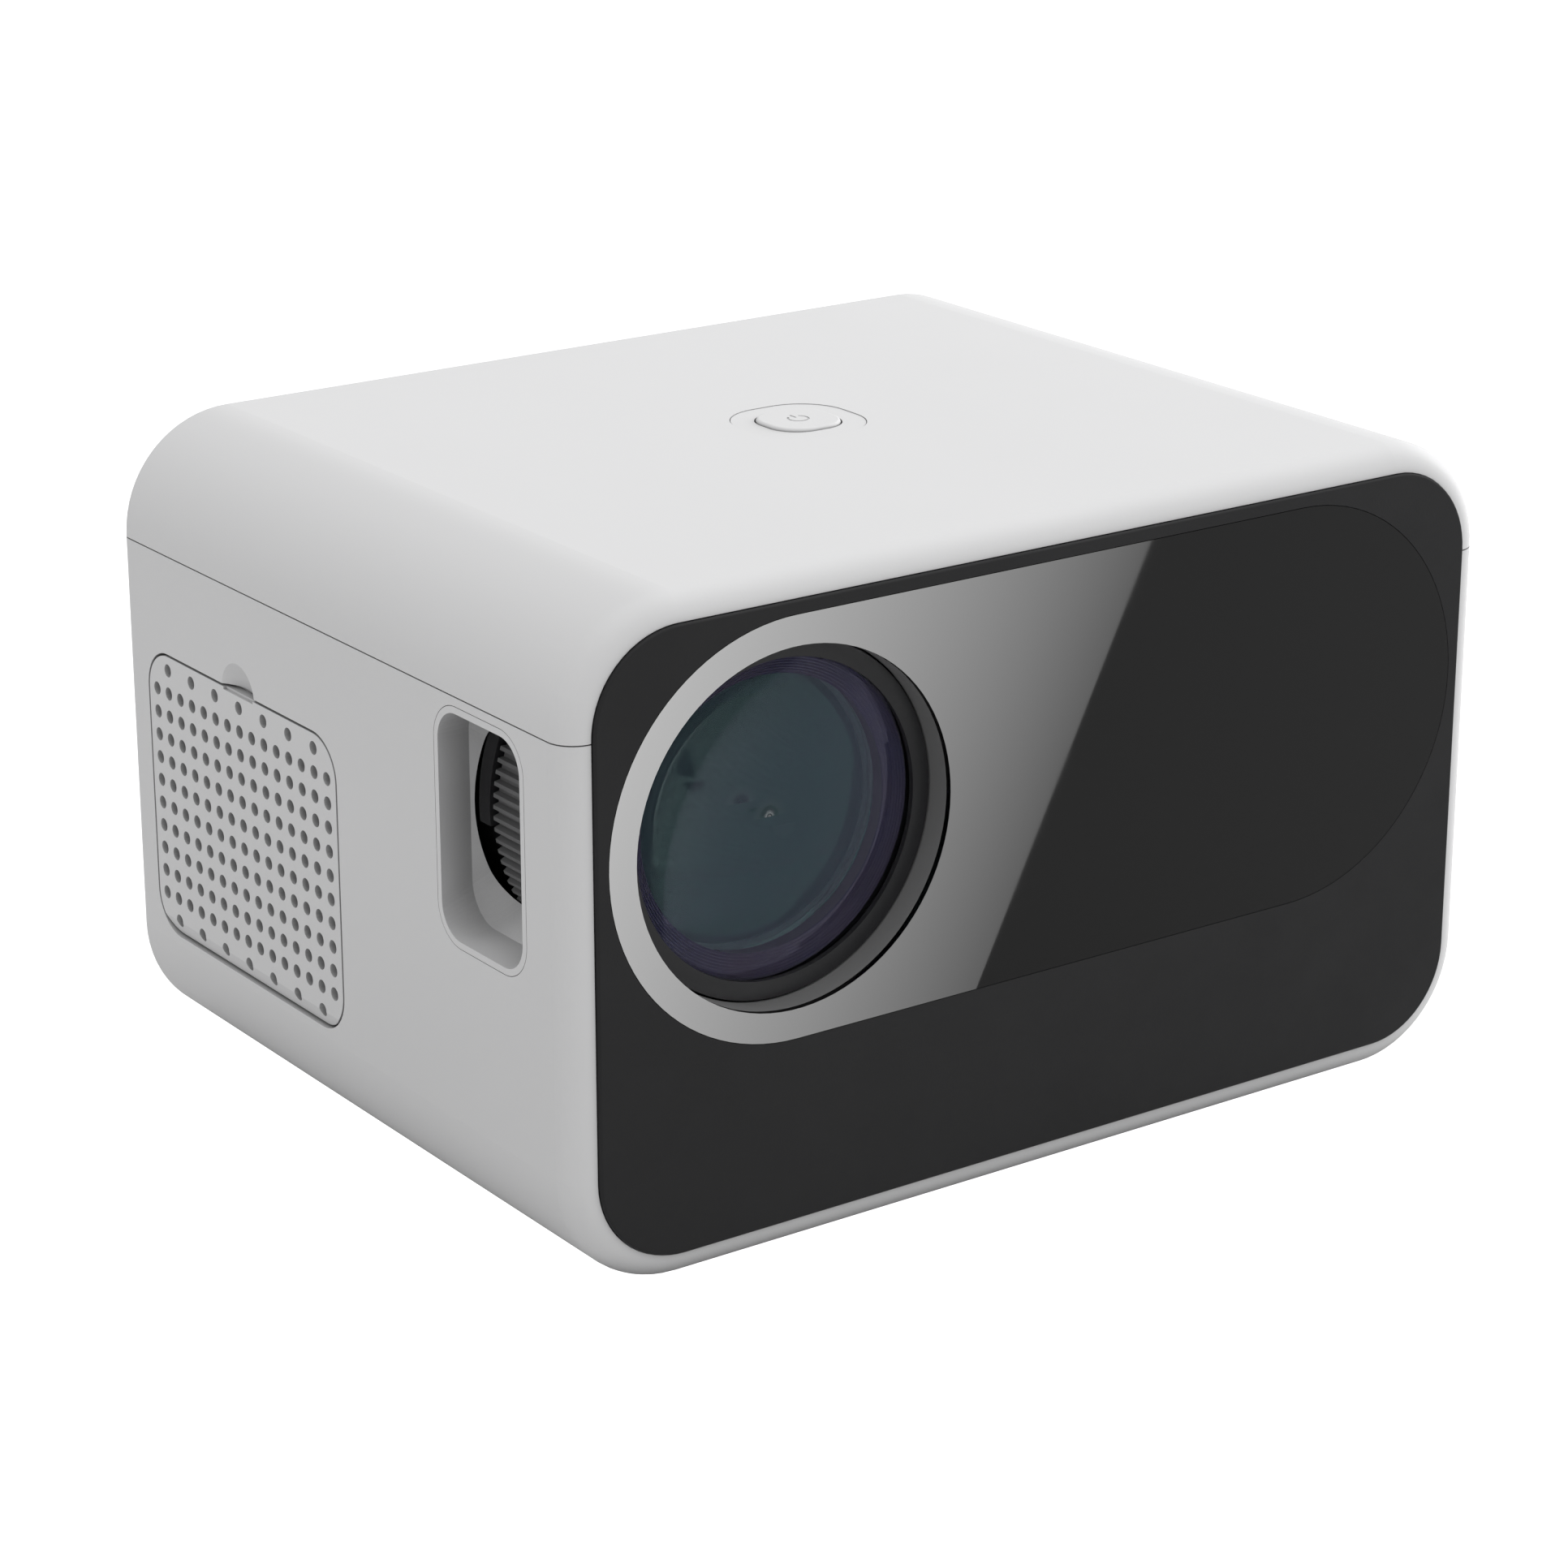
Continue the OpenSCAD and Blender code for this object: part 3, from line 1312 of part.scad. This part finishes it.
module speaker_frame() {
    color(black) translate([speaker_x, speaker_y, speaker_z]) {
        difference() {
            cylinder(r = speaker_r, h = 2);
            translate([0, 0, -1]) cylinder(r = speaker_r - 4, h = 4);
        }
        difference() {
            cylinder(r = speaker_r - 2, h = 9);
            translate([0, 0, -1]) cylinder(r = speaker_r - 3.4, h = 11);
            for (a = [0 : 60 : 120])
                rotate([0, 0, a]) translate([-speaker_r, -4, 3]) cube([2 * speaker_r, 8, 4]);
        }
        difference() {
            translate([0, 0, 8.9]) cylinder(r = speaker_r - 2, h = 1.4);
            translate([0, 0, 8]) cylinder(r = 9, h = 4);
        }
        translate([0, 0, 10.2]) difference() {
            cylinder(r = 16, h = speaker_h - 10.2);
            translate([0, 0, -1]) cylinder(r = 7.4, h = 5);
        }
    }
}

module speaker_cone() {
    r = speaker_r - 4.4;
    color(dark) translate([speaker_x, speaker_y, speaker_z]) rotate_extrude() polygon([
        [0, 7.4], [5.5, 7], [6, 6.4], [r - 4, 2.2], [r - 3, 1.2], [r - 1.4, 1.2], [r, 1.6],
        [r, 2.4], [r - 1.4, 2], [r - 3, 2], [r - 3.6, 3], [7, 7.2], [7, 13.4], [6.2, 13.4], [6.2, 8.2],
            [0, 8.2]
    ]);
}

// ---------- cables ----------

module panel_ribbon() {
    z1 = engine_z0 - 1.5;
    x = lcd_x + lcd_t / 2;
    color([0.75, 0.5, 0.2]) y_slab(engine_y - 8, engine_y + 8, 0, 0) polygon([
        [x, engine_z0 + 1.2], [x, z1], [x - 5, z1 - 9], [x - 5, board_top + 4], [x - 5, board_top + 3],
        [x - 4.7, board_top + 3], [x - 4.7, z1 - 9.2], [x + 0.3, z1 - 0.2], [x + 0.3, engine_z0 + 1.2]
    ]);
    color("whitesmoke") box([x - 6.5, engine_y - 9, board_top], [x - 3, engine_y + 9, board_top + 3]);
}

module fan_cable() {
    color(black) wire([
        [fan_x0 + 4, fan_y - fan_size / 2 - 0.2, fan_z - 20],
            [fan_x0 + 4, fan_y - fan_size / 2 - 5.8, fan_z - 22],
        [fan_x0 - 12, power_y0 - 16, 32], [30, power_y0 - 8, 34], [main_x1 - 4, main_y0 - 6, 28],
        [main_x1 - 8, main_y0 + 2, 20], [main_x1 - 10, main_y0 + 6, board_top + 0.4]
    ], 0.9);
}

module lamp_cable() {
    color("firebrick") wire([
        [engine_x1 + 1.1, engine_y, lens_z - led_size / 2 - 0.1], [engine_x1 + 1.1, engine_y, engine_z0 - 3],
        [power_x0 + 6, engine_y + 1, engine_z0 - 12], [power_x0 + 5, engine_y + 4, board_top + 6],
            [power_x0 + 5, engine_y + 5, board_top + 0.4]
    ], 0.8);
}

// Leads of the speaker and of the key board, both to the main board
module signal_leads() {
    x = button_x + 8.7;
    y_down = y_engine + 2 * engine_half + 6;
    color("dimgray") wire([
        [speaker_x - 13, speaker_y + 7, speaker_z + speaker_h + 0.9], [speaker_x - 22, speaker_y + 14, 28],
        [8, speaker_y + 16, 30], [main_x1 - 20, main_y0 - 6, 26], [main_x1 - 22, main_y0 + 3, 18],
        [main_x1 - 22, main_y0 + 8, board_top + 0.4]
    ], 0.7);
    color("gray") wire([
        [x, button_y + 19.1, key_z + 0.8], [x, y_down, key_z + 0.8],
        [x, y_down, engine_z0 - 8], [x - 6, y_down - 1, 24], [x - 6, y_down - 5, board_top + 0.4]
    ], 0.7);
}

module mains_leads() {
    for (s = [-1, 1])
        color(s < 0 ? "saddlebrown" : "royalblue") wire([
            [inlet_x + s * 4, y_back - inlet_l - 0.1, port_z + 3],
                [inlet_x + s * 4, y_back - inlet_l - 1.6, port_z + 3.2],
            [inlet_x + s * 4, power_y1 - 3, port_z + 6.4], [inlet_x + s * 4, power_y1 - 5, board_top + 7.8]
        ], 0.8);
}

// ---------- base and fastenings ----------

module rubber_feet() {
    color(dark) for (i = [0 : 3]) at_foot(i) rotate_extrude() polygon([
        [0, 0.3], [foot_r - 2.4, 0.3], [foot_r - 2, 0], [foot_r - 0.8, 0], [foot_r, 0.8],
        [foot_r, z_base + foot_sink - 0.1], [0, z_base + foot_sink - 0.1]
    ]);
}

module tripod_insert() {
    color([0.8, 0.65, 0.3]) translate([tripod_x, tripod_y, z_base + 0.2]) difference() {
        cylinder(r = 5.45, h = tripod_l - 0.4);
        translate([0, 0, -1]) cylinder(r = tripod_r, h = tripod_l - 0.4);
    }
}

module case_screws() {
    color(metal) for (p = case_posts)
        translate([p[0], p[1], post_joint_z - 3]) screw(13, head_screw_r, 1.8);
}

module down_screw(x, y, z, l) {
    translate([x, y, z]) rotate([180, 0, 0]) screw(l, head_screw_r, 1.8);
}

module engine_screws() {
    color(metal) {
        for (p = lid_screws) down_screw(p[0], p[1], engine_z1, 12);
        for (p = ears) down_screw(p[0], p[1], engine_z0 + ear_t, 11);
    }
}

module board_screws() {
    color(metal) for (p = concat(main_holes, power_holes)) down_screw(p[0], p[1], board_top, 5);
}

module lens_screws() {
    color(metal) {
        for (p = flange_holes)
            translate([p[0], y_engine - 0.1 - flange_t, p[1]]) rotate([-90, 0, 0])
                screw(flange_t + 3, head_screw_r, 1.8);
        for (p = sink_holes)
            translate([sink_x + sink_base, p[0], p[1]]) rotate([0, -90, 0])
                screw(sink_base + led_t + 2.4, head_screw_r, 1.8);
    }
}

module fan_screws() {
    color(metal) for (p = fan_holes)
        translate([fan_x0, p[0], p[1]]) rotate([0, 90, 0]) screw(fan_t + 4.6, head_screw_r, 1.8);
}

bottom_case();
top_cover();
front_plate();
front_glass();
lens_hood();
focus_window();
button_ring();
exhaust_grille();
rear_panel();
rubber_feet();
tripod_insert();
power_button();
key_board();
key_switch();
filter_cover();
dust_filter();
focus_ring();
fixed_barrel();
sliding_barrel();
front_lens();
ribbed_retainer();
second_lens();
spacer_tube();
rear_lens();
rear_retainer();
guide_pins();
engine_housing();
engine_lid();
folding_mirror();
field_lens();
lcd_panel();
collimator_lens();
heat_glass();
condenser_lens();
led_module();
lamp_heatsink();
fan_frame();
fan_impeller();
main_board();
main_chips();
chip_heatsink();
power_board();
power_parts();
mains_inlet();
hdmi_socket();
usb_sockets();
av_jack();
ir_receiver();
speaker_frame();
speaker_cone();
panel_ribbon();
fan_cable();
lamp_cable();
signal_leads();
mains_leads();
case_screws();
engine_screws();
board_screws();
lens_screws();
fan_screws();
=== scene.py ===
import json
import math

import bpy
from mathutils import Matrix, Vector

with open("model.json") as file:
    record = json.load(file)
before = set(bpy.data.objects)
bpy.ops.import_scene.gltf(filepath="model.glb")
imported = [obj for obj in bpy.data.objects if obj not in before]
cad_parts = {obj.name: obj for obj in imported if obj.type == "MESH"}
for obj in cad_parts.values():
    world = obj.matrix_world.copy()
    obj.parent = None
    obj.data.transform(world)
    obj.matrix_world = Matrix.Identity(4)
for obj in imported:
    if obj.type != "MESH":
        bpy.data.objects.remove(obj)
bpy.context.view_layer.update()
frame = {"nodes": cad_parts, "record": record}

nodes = frame["nodes"]
scene = bpy.context.scene
scene.view_settings.view_transform = "Standard"
scene.view_settings.look = "None"

# ---------- material helpers ----------


def shader(name, color, roughness, **sockets):
    """A new material with one Principled shader, whose even values are set on its own sockets."""
    material = bpy.data.materials.new(name)
    material.use_nodes = True
    tree = material.node_tree
    tree.nodes.clear()
    out = tree.nodes.new("ShaderNodeOutputMaterial")
    bsdf = tree.nodes.new("ShaderNodeBsdfPrincipled")
    tree.links.new(bsdf.outputs[0], out.inputs["Surface"])
    bsdf.inputs["Base Color"].default_value = (*color, 1)
    bsdf.inputs["Roughness"].default_value = roughness
    for key, value in sockets.items():
        bsdf.inputs[key.replace("_", " ")].default_value = value
    material.diffuse_color = (*color, 1)
    return material, tree, bsdf


def coords(tree, stretch=(1, 1, 1)):
    """The piece's own coordinates in metres, stretched along each axis."""
    source = tree.nodes.new("ShaderNodeTexCoord")
    mapping = tree.nodes.new("ShaderNodeMapping")
    mapping.inputs["Scale"].default_value = stretch
    tree.links.new(source.outputs["Object"], mapping.inputs["Vector"])
    return mapping.outputs[0]


def noise(tree, place, scale, detail=3.0, rough=0.5):
    n = tree.nodes.new("ShaderNodeTexNoise")
    n.inputs["Scale"].default_value = scale
    n.inputs["Detail"].default_value = detail
    n.inputs["Roughness"].default_value = rough
    tree.links.new(place, n.inputs["Vector"])
    return n.outputs["Fac"]


def spread(tree, value, low, high, start=0.3, end=0.7):
    """value from start to end, mapped to low to high."""
    m = tree.nodes.new("ShaderNodeMapRange")
    for key, number in (("From Min", start), ("From Max", end), ("To Min", low), ("To Max", high)):
        m.inputs[key].default_value = number
    tree.links.new(value, m.inputs["Value"])
    return m.outputs[0]


def blend_colors(tree, factor, a, b):
    """Colour a where factor is 0 and b where it is 1. Each is a colour or a socket."""
    m = tree.nodes.new("ShaderNodeMix")
    m.data_type = "RGBA"
    tree.links.new(factor, m.inputs["Factor"])
    for socket, value in ((m.inputs[6], a), (m.inputs[7], b)):
        if isinstance(value, tuple):
            socket.default_value = (*value, 1)
        else:
            tree.links.new(value, socket)
    return m.outputs[2]


def bump(tree, bsdf, height, strength, depth, before=None):
    b = tree.nodes.new("ShaderNodeBump")
    b.inputs["Strength"].default_value = strength
    b.inputs["Distance"].default_value = depth
    tree.links.new(height, b.inputs["Height"])
    if before:
        tree.links.new(before, b.inputs["Normal"])
    tree.links.new(b.outputs[0], bsdf.inputs["Normal"])
    return b.outputs[0]


def paint_crevice_shade(tree, color, reach, depth):
    """Painted shade: color darkened by ambient occlusion in gaps, holes and pockets up to reach wide, down
    to 1 - depth.
    """
    nearby = tree.nodes.new("ShaderNodeAmbientOcclusion")
    nearby.samples = 6
    nearby.inputs["Distance"].default_value = reach
    mix = tree.nodes.new("ShaderNodeMix")
    mix.data_type = "RGBA"
    mix.blend_type = "MULTIPLY"
    mix.inputs["Factor"].default_value = 1
    tree.links.new(color, mix.inputs[6])
    tree.links.new(spread(tree, nearby.outputs["AO"], 1 - depth, 1, 0.25, 0.9), mix.inputs[7])
    return mix.outputs[2]


def moulded(
    name, color, roughness, grain, grain_depth, change=0.04, gloss_change=0.06, shade=None, **sockets
):
    """Moulded plastic or rubber: spark-eroded grain, faint flow marks and uneven gloss from handling; with
    shade, also painted shade in gaps, holes and pockets.
    """
    material, tree, bsdf = shader(name, color, roughness, **sockets)
    place = coords(tree)
    flow = noise(tree, coords(tree, (1, 0.35, 1)), 22, 2)
    darker = tuple(c * (1 - change) for c in color)
    base = blend_colors(tree, spread(tree, flow, 0, 1), color, darker)
    # painted shade: the colour is darkened where ambient occlusion finds gaps, holes and pockets
    if shade:
        base = paint_crevice_shade(tree, base, *shade)
    tree.links.new(base, bsdf.inputs["Base Color"])
    smears = noise(tree, place, 60, 4, 0.6)
    tree.links.new(
        spread(tree, smears, roughness - gloss_change, roughness + gloss_change), bsdf.inputs["Roughness"]
    )
    fine = noise(tree, place, grain, 2)
    bump(tree, bsdf, fine, 0.5, grain_depth)
    return material


# ---------- materials ----------

WHITE = (0.80, 0.80, 0.805)
# white_plastic has painted shade: its colour darkens to half in gaps, holes and pockets within 12 mm
white_plastic = moulded(
    "white_plastic", WHITE, 0.42, 2600, 0.000012, 0.012, 0.04, (0.012, 0.5), Specular_IOR_Level=0.45
)
black_satin = moulded(
    "black_satin", (0.022, 0.022, 0.023), 0.55, 3000, 0.00003, 0.1, Specular_IOR_Level=0.25
)
black_plastic = moulded("black_plastic", (0.018, 0.018, 0.02), 0.45, 2200, 0.00003, 0.15)
grey_plastic = moulded("grey_plastic", (0.06, 0.06, 0.065), 0.5, 2200, 0.00003, 0.1)
rubber = moulded("rubber", (0.02, 0.02, 0.021), 0.75, 1500, 0.00006, 0.2, 0.08)
cable_sheath = moulded("cable_sheath", (0.03, 0.03, 0.032), 0.5, 900, 0.00004, 0.2)


def metal(name, color, roughness, stretch, scale, depth, change=0.12):
    """Metal with its brushing or drawing marks along the short side of stretch."""
    material, tree, bsdf = shader(name, color, roughness, Metallic=1.0)
    lines = noise(tree, coords(tree, stretch), scale, 3)
    stain = noise(tree, coords(tree), 70, 3)
    duller = tuple(c * (1 - change) for c in color)
    tree.links.new(blend_colors(tree, spread(tree, stain, 0, 1), color, duller), bsdf.inputs["Base Color"])
    tree.links.new(spread(tree, lines, roughness * 0.7, roughness * 1.4), bsdf.inputs["Roughness"])
    bump(tree, bsdf, lines, 0.4, depth)
    return material


brass = metal("brass", (0.72, 0.52, 0.22), 0.3, (1, 1, 12), 300, 0.00002)
steel = metal("steel", (0.58, 0.58, 0.6), 0.28, (1, 1, 8), 400, 0.00001)
aluminium = metal("aluminium", (0.72, 0.73, 0.74), 0.38, (0.1, 1, 1), 900, 0.00002)


def make_glass():
    color = (0.003, 0.003, 0.0035)
    material, tree, bsdf = shader("smoked_glass", color, 0.02, IOR=1.5, Specular_IOR_Level=0.34)
    smears = noise(tree, coords(tree, (1, 1, 0.6)), 45, 4, 0.65)
    tree.links.new(spread(tree, smears, 0.012, 0.05), bsdf.inputs["Roughness"])
    tint = noise(tree, coords(tree), 8, 2)
    tree.links.new(
        blend_colors(tree, spread(tree, tint, 0, 1), (0.0004, 0.0004, 0.0005), (0.0008, 0.0008, 0.0009)),
        bsdf.inputs["Base Color"],
    )
    return material


smoked_glass = make_glass()


def coated_glass(name, tint, ior, roughness=0.0, reflection=(1, 1, 1)):
    """Optical glass. A low ior stands for its coating, and reflection is the coating's own colour."""
    material, tree, bsdf = shader(name, tint, roughness, Transmission_Weight=1.0, IOR=ior)
    bsdf.inputs["Specular Tint"].default_value = (*reflection, 1)
    haze = noise(tree, coords(tree), 120, 2)
    tree.links.new(spread(tree, haze, roughness, roughness + 0.01), bsdf.inputs["Roughness"])
    return material


front_coating = coated_glass("front_coating", (1, 1, 1), 1.4, 0.0, (0.62, 0.6, 1))
inner_coating = coated_glass("inner_coating", (0.8, 0.95, 0.95), 1.3, 0.02, (0.15, 0.95, 0.8))
rear_coating = coated_glass("rear_coating", (0.03, 0.4, 0.36), 1.4, 0.14, (0.1, 1, 0.85))
plain_optic = coated_glass("plain_optic", (0.97, 1, 0.99), 1.5)


def make_mirror():
    material, tree, bsdf = shader("mirror", (0.9, 0.92, 0.95), 0.02, Metallic=1.0)
    haze = noise(tree, coords(tree), 30, 4)
    tree.links.new(spread(tree, haze, 0.01, 0.05), bsdf.inputs["Roughness"])
    return material


mirror = make_mirror()


def make_board():
    """Green solder mask over copper tracks."""
    color = (0.01, 0.09, 0.04)
    material, tree, bsdf = shader("circuit_board", color, 0.35, Coat_Weight=0.4, Coat_Roughness=0.15)
    place = coords(tree, (1, 1, 1))
    brick = tree.nodes.new("ShaderNodeTexBrick")
    brick.inputs["Scale"].default_value = 160
    brick.inputs["Mortar Size"].default_value = 0.06
    greens = {"Color1": (0.01, 0.1, 0.045), "Color2": (0.012, 0.12, 0.055), "Mortar": (0.004, 0.05, 0.02)}
    for key, green in greens.items():
        brick.inputs[key].default_value = (*green, 1)
    tree.links.new(place, brick.inputs["Vector"])
    tree.links.new(brick.outputs["Color"], bsdf.inputs["Base Color"])
    bump(tree, bsdf, brick.outputs["Fac"], 0.3, 0.00004)
    return material


circuit_board = make_board()


def make_paper():
    material, tree, bsdf = shader("paper_cone", (0.02, 0.02, 0.021), 0.7, Sheen_Weight=0.2)
    fibres = noise(tree, coords(tree, (1, 1, 0.3)), 500, 5, 0.7)
    dark, light = (0.015, 0.015, 0.016), (0.04, 0.04, 0.042)
    tree.links.new(blend_colors(tree, fibres, dark, light), bsdf.inputs["Base Color"])
    bump(tree, bsdf, fibres, 0.6, 0.0001)
    return material


paper_cone = make_paper()


def make_foam():
    """Open-cell filter foam."""
    material, tree, bsdf = shader("filter_foam", (0.05, 0.05, 0.052), 0.9, Sheen_Weight=0.3)
    pore, strand = (0.008, 0.008, 0.008), (0.07, 0.07, 0.074)
    cells = tree.nodes.new("ShaderNodeTexVoronoi")
    cells.inputs["Scale"].default_value = 800
    tree.links.new(coords(tree), cells.inputs["Vector"])
    tree.links.new(
        blend_colors(tree, spread(tree, cells.outputs["Distance"], 0, 1, 0.1, 0.6), pore, strand),
        bsdf.inputs["Base Color"],
    )
    bump(tree, bsdf, cells.outputs["Distance"], 0.8, 0.0006)
    return material


filter_foam = make_foam()


def make_ribs():
    """Black ribs with a painted reflection: the lens coating's violet and blue are painted into their
    colour.
    """
    material, tree, bsdf = shader("ribs_painted_reflection", (0.012, 0.01, 0.03), 0.4, Specular_IOR_Level=0.25)
    shade = noise(tree, coords(tree), 60, 2)
    # violet and blue: painted reflection of the lens coating, mixed by noise
    violet, blue = (0.016, 0.006, 0.024), (0.003, 0.004, 0.04)
    tree.links.new(blend_colors(tree, spread(tree, shade, 0, 1), violet, blue), bsdf.inputs["Base Color"])
    return material


ribs_painted_reflection = make_ribs()
ring_grey = moulded("ring_grey", (0.17, 0.17, 0.172), 0.5, 2200, 0.00003, 0.1)
hood_grey = moulded("hood_grey", (0.22, 0.22, 0.222), 0.5, 2200, 0.00003, 0.1)

slot_materials = {
    "white_plastic": white_plastic,
    "black_satin": black_satin,
    "smoked_glass": smoked_glass,
    "black_plastic": black_plastic,
    "grey_plastic": grey_plastic,
    "rubber": rubber,
    "filter_foam": filter_foam,
    "brass": brass,
    "steel": steel,
    "aluminium": aluminium,
    "optical_glass": plain_optic,
    "mirror": mirror,
    "circuit_board": circuit_board,
    "paper_cone": paper_cone,
    "cable_sheath": cable_sheath,
}
own_materials = {
    "front_lens": front_coating,
    "second_lens": inner_coating,
    "rear_lens": rear_coating,
    "ribbed_retainer": ribs_painted_reflection,
    "lens_hood": hood_grey,
    "focus_ring": ring_grey,
}


def dress(obj, material):
    obj.data.materials.clear()
    obj.data.materials.append(material)


for part in frame["record"]["subparts"]:
    name = part["node"]
    dress(nodes[name], own_materials.get(name, slot_materials[part["material_slot"]]))

# ---------- floor, light and camera ----------


def flat_piece(name, outline, material):
    """A flat piece that is part of the studio and not of the projector."""
    mesh = bpy.data.meshes.new(name)
    mesh.from_pydata([(x, y, 0) for x, y in outline], [], [tuple(range(len(outline)))])
    obj = bpy.data.objects.new(name, mesh)
    scene.collection.objects.link(obj)
    dress(obj, material)
    return obj


def make_floor():
    """A pale floor that the camera doesn't see, on a white backdrop that only the camera sees."""
    half = 40.0
    backdrop_drop = 0.0005
    outline = [(-half, -half), (half, -half), (half, half), (-half, half)]
    material = shader("floor", (0.6, 0.6, 0.6), 0.7)[0]
    table = flat_piece("floor", outline, material)
    table.visible_camera = False
    backdrop, tree, bsdf = shader("backdrop", (0.8, 0.8, 0.8), 0.7, Emission_Strength=1.0)
    bsdf.inputs["Emission Color"].default_value = (1, 1, 1, 1)
    sheet = flat_piece("backdrop", outline, backdrop)
    sheet.location.z = -backdrop_drop
    for kind in ("visible_diffuse", "visible_glossy", "visible_transmission", "visible_shadow"):
        setattr(sheet, kind, False)


def aim(obj, place, target, turn):
    """Put obj at place with its face to target, turned about that line by turn degrees."""
    obj.location = place
    obj.rotation_euler = (Vector(target) - Vector(place)).to_track_quat("-Z", "Y").to_euler()
    obj.rotation_euler.rotate_axis("Z", math.radians(turn))


def receivers(name, obj, only):
    """Let obj light just the named CAD nodes."""
    group = bpy.data.collections.new(name + "_receivers")
    for n in only:
        group.objects.link(nodes[n])
    obj.light_linking.receiver_collection = group


def area_light(name, place, target, width, height, power):
    """A rectangular white lamp at place that faces target, unseen by the camera and in reflections."""
    data = bpy.data.lights.new(name, "AREA")
    data.shape = "RECTANGLE"
    data.size, data.size_y = width, height
    data.energy = power
    lamp = bpy.data.objects.new(name, data)
    scene.collection.objects.link(lamp)
    aim(lamp, place, target, 0)
    lamp.visible_camera = False
    lamp.visible_glossy = False


def softbox_card(name, width, height, place, target, turn, only, near, far):
    """A see-through white softbox that only the named nodes reflect.

    Its strength fades from near at its left edge to far at its right edge.
    """
    material = bpy.data.materials.new(name)
    material.use_nodes = True
    tree = material.node_tree
    tree.nodes.clear()
    out = tree.nodes.new("ShaderNodeOutputMaterial")
    both = tree.nodes.new("ShaderNodeAddShader")
    clear = tree.nodes.new("ShaderNodeBsdfTransparent")
    light = tree.nodes.new("ShaderNodeEmission")
    split = tree.nodes.new("ShaderNodeSeparateXYZ")
    w, h = width / 2, height / 2
    tree.links.new(coords(tree), split.inputs[0])
    tree.links.new(spread(tree, split.outputs["X"], near, far, -w, w), light.inputs["Strength"])
    tree.links.new(clear.outputs[0], both.inputs[0])
    tree.links.new(light.outputs[0], both.inputs[1])
    tree.links.new(both.outputs[0], out.inputs["Surface"])
    card = flat_piece(name, [(-w, -h), (w, -h), (w, h), (-w, h)], material)
    aim(card, place, target, turn)
    for kind in ("visible_camera", "visible_diffuse", "visible_transmission", "visible_shadow"):
        setattr(card, kind, False)
    receivers(name, card, only)


def make_world(strength):
    world = bpy.data.worlds.new("studio")
    scene.world = world
    world.use_nodes = True
    background = world.node_tree.nodes["Background"]
    background.inputs["Color"].default_value = (1, 1, 1, 1)
    background.inputs["Strength"].default_value = strength


def make_camera():
    data = bpy.data.cameras.new("camera")
    data.lens = 99.91
    data.sensor_width = 36
    camera = bpy.data.objects.new("camera", data)
    scene.collection.objects.link(camera)
    camera.location = (-0.4504, -0.6277, 0.3252)
    target = Vector((-0.00312, 0.0004, 0.05456))
    camera.rotation_euler = (target - camera.location).to_track_quat("-Z", "Y").to_euler()
    scene.camera = camera


def sun(name, azimuth, elevation, irradiance, angle):
    """A soft even light from a wide disc in the sky. Azimuth 0 is in front and 90 is on the right."""
    data = bpy.data.lights.new(name, "SUN")
    data.energy = irradiance
    data.angle = math.radians(angle)
    lamp = bpy.data.objects.new(name, data)
    scene.collection.objects.link(lamp)
    a, e = math.radians(azimuth), math.radians(elevation)
    towards = Vector((math.sin(a) * math.cos(e), -math.cos(a) * math.cos(e), math.sin(e)))
    lamp.rotation_euler = towards.to_track_quat("Z", "Y").to_euler()


make_floor()
make_world(strength=0.64)
make_camera()
sun("sky_softbox", azimuth=60, elevation=72, irradiance=0.75, angle=70)
area_light("right_fill", place=(1.2, 0.1, 0.35), target=(0.1, 0, 0.06), width=0.8, height=0.5, power=12)
glass_softbox_place = (-0.0044, -0.1495, 0.071)
softbox_card(
    "glass_softbox",
    width=0.14,
    height=0.24,
    place=glass_softbox_place,
    target=(glass_softbox_place[0], 0, glass_softbox_place[2]),
    turn=-26.3,
    only=("front_glass",),
    near=20,
    far=2.7,
)
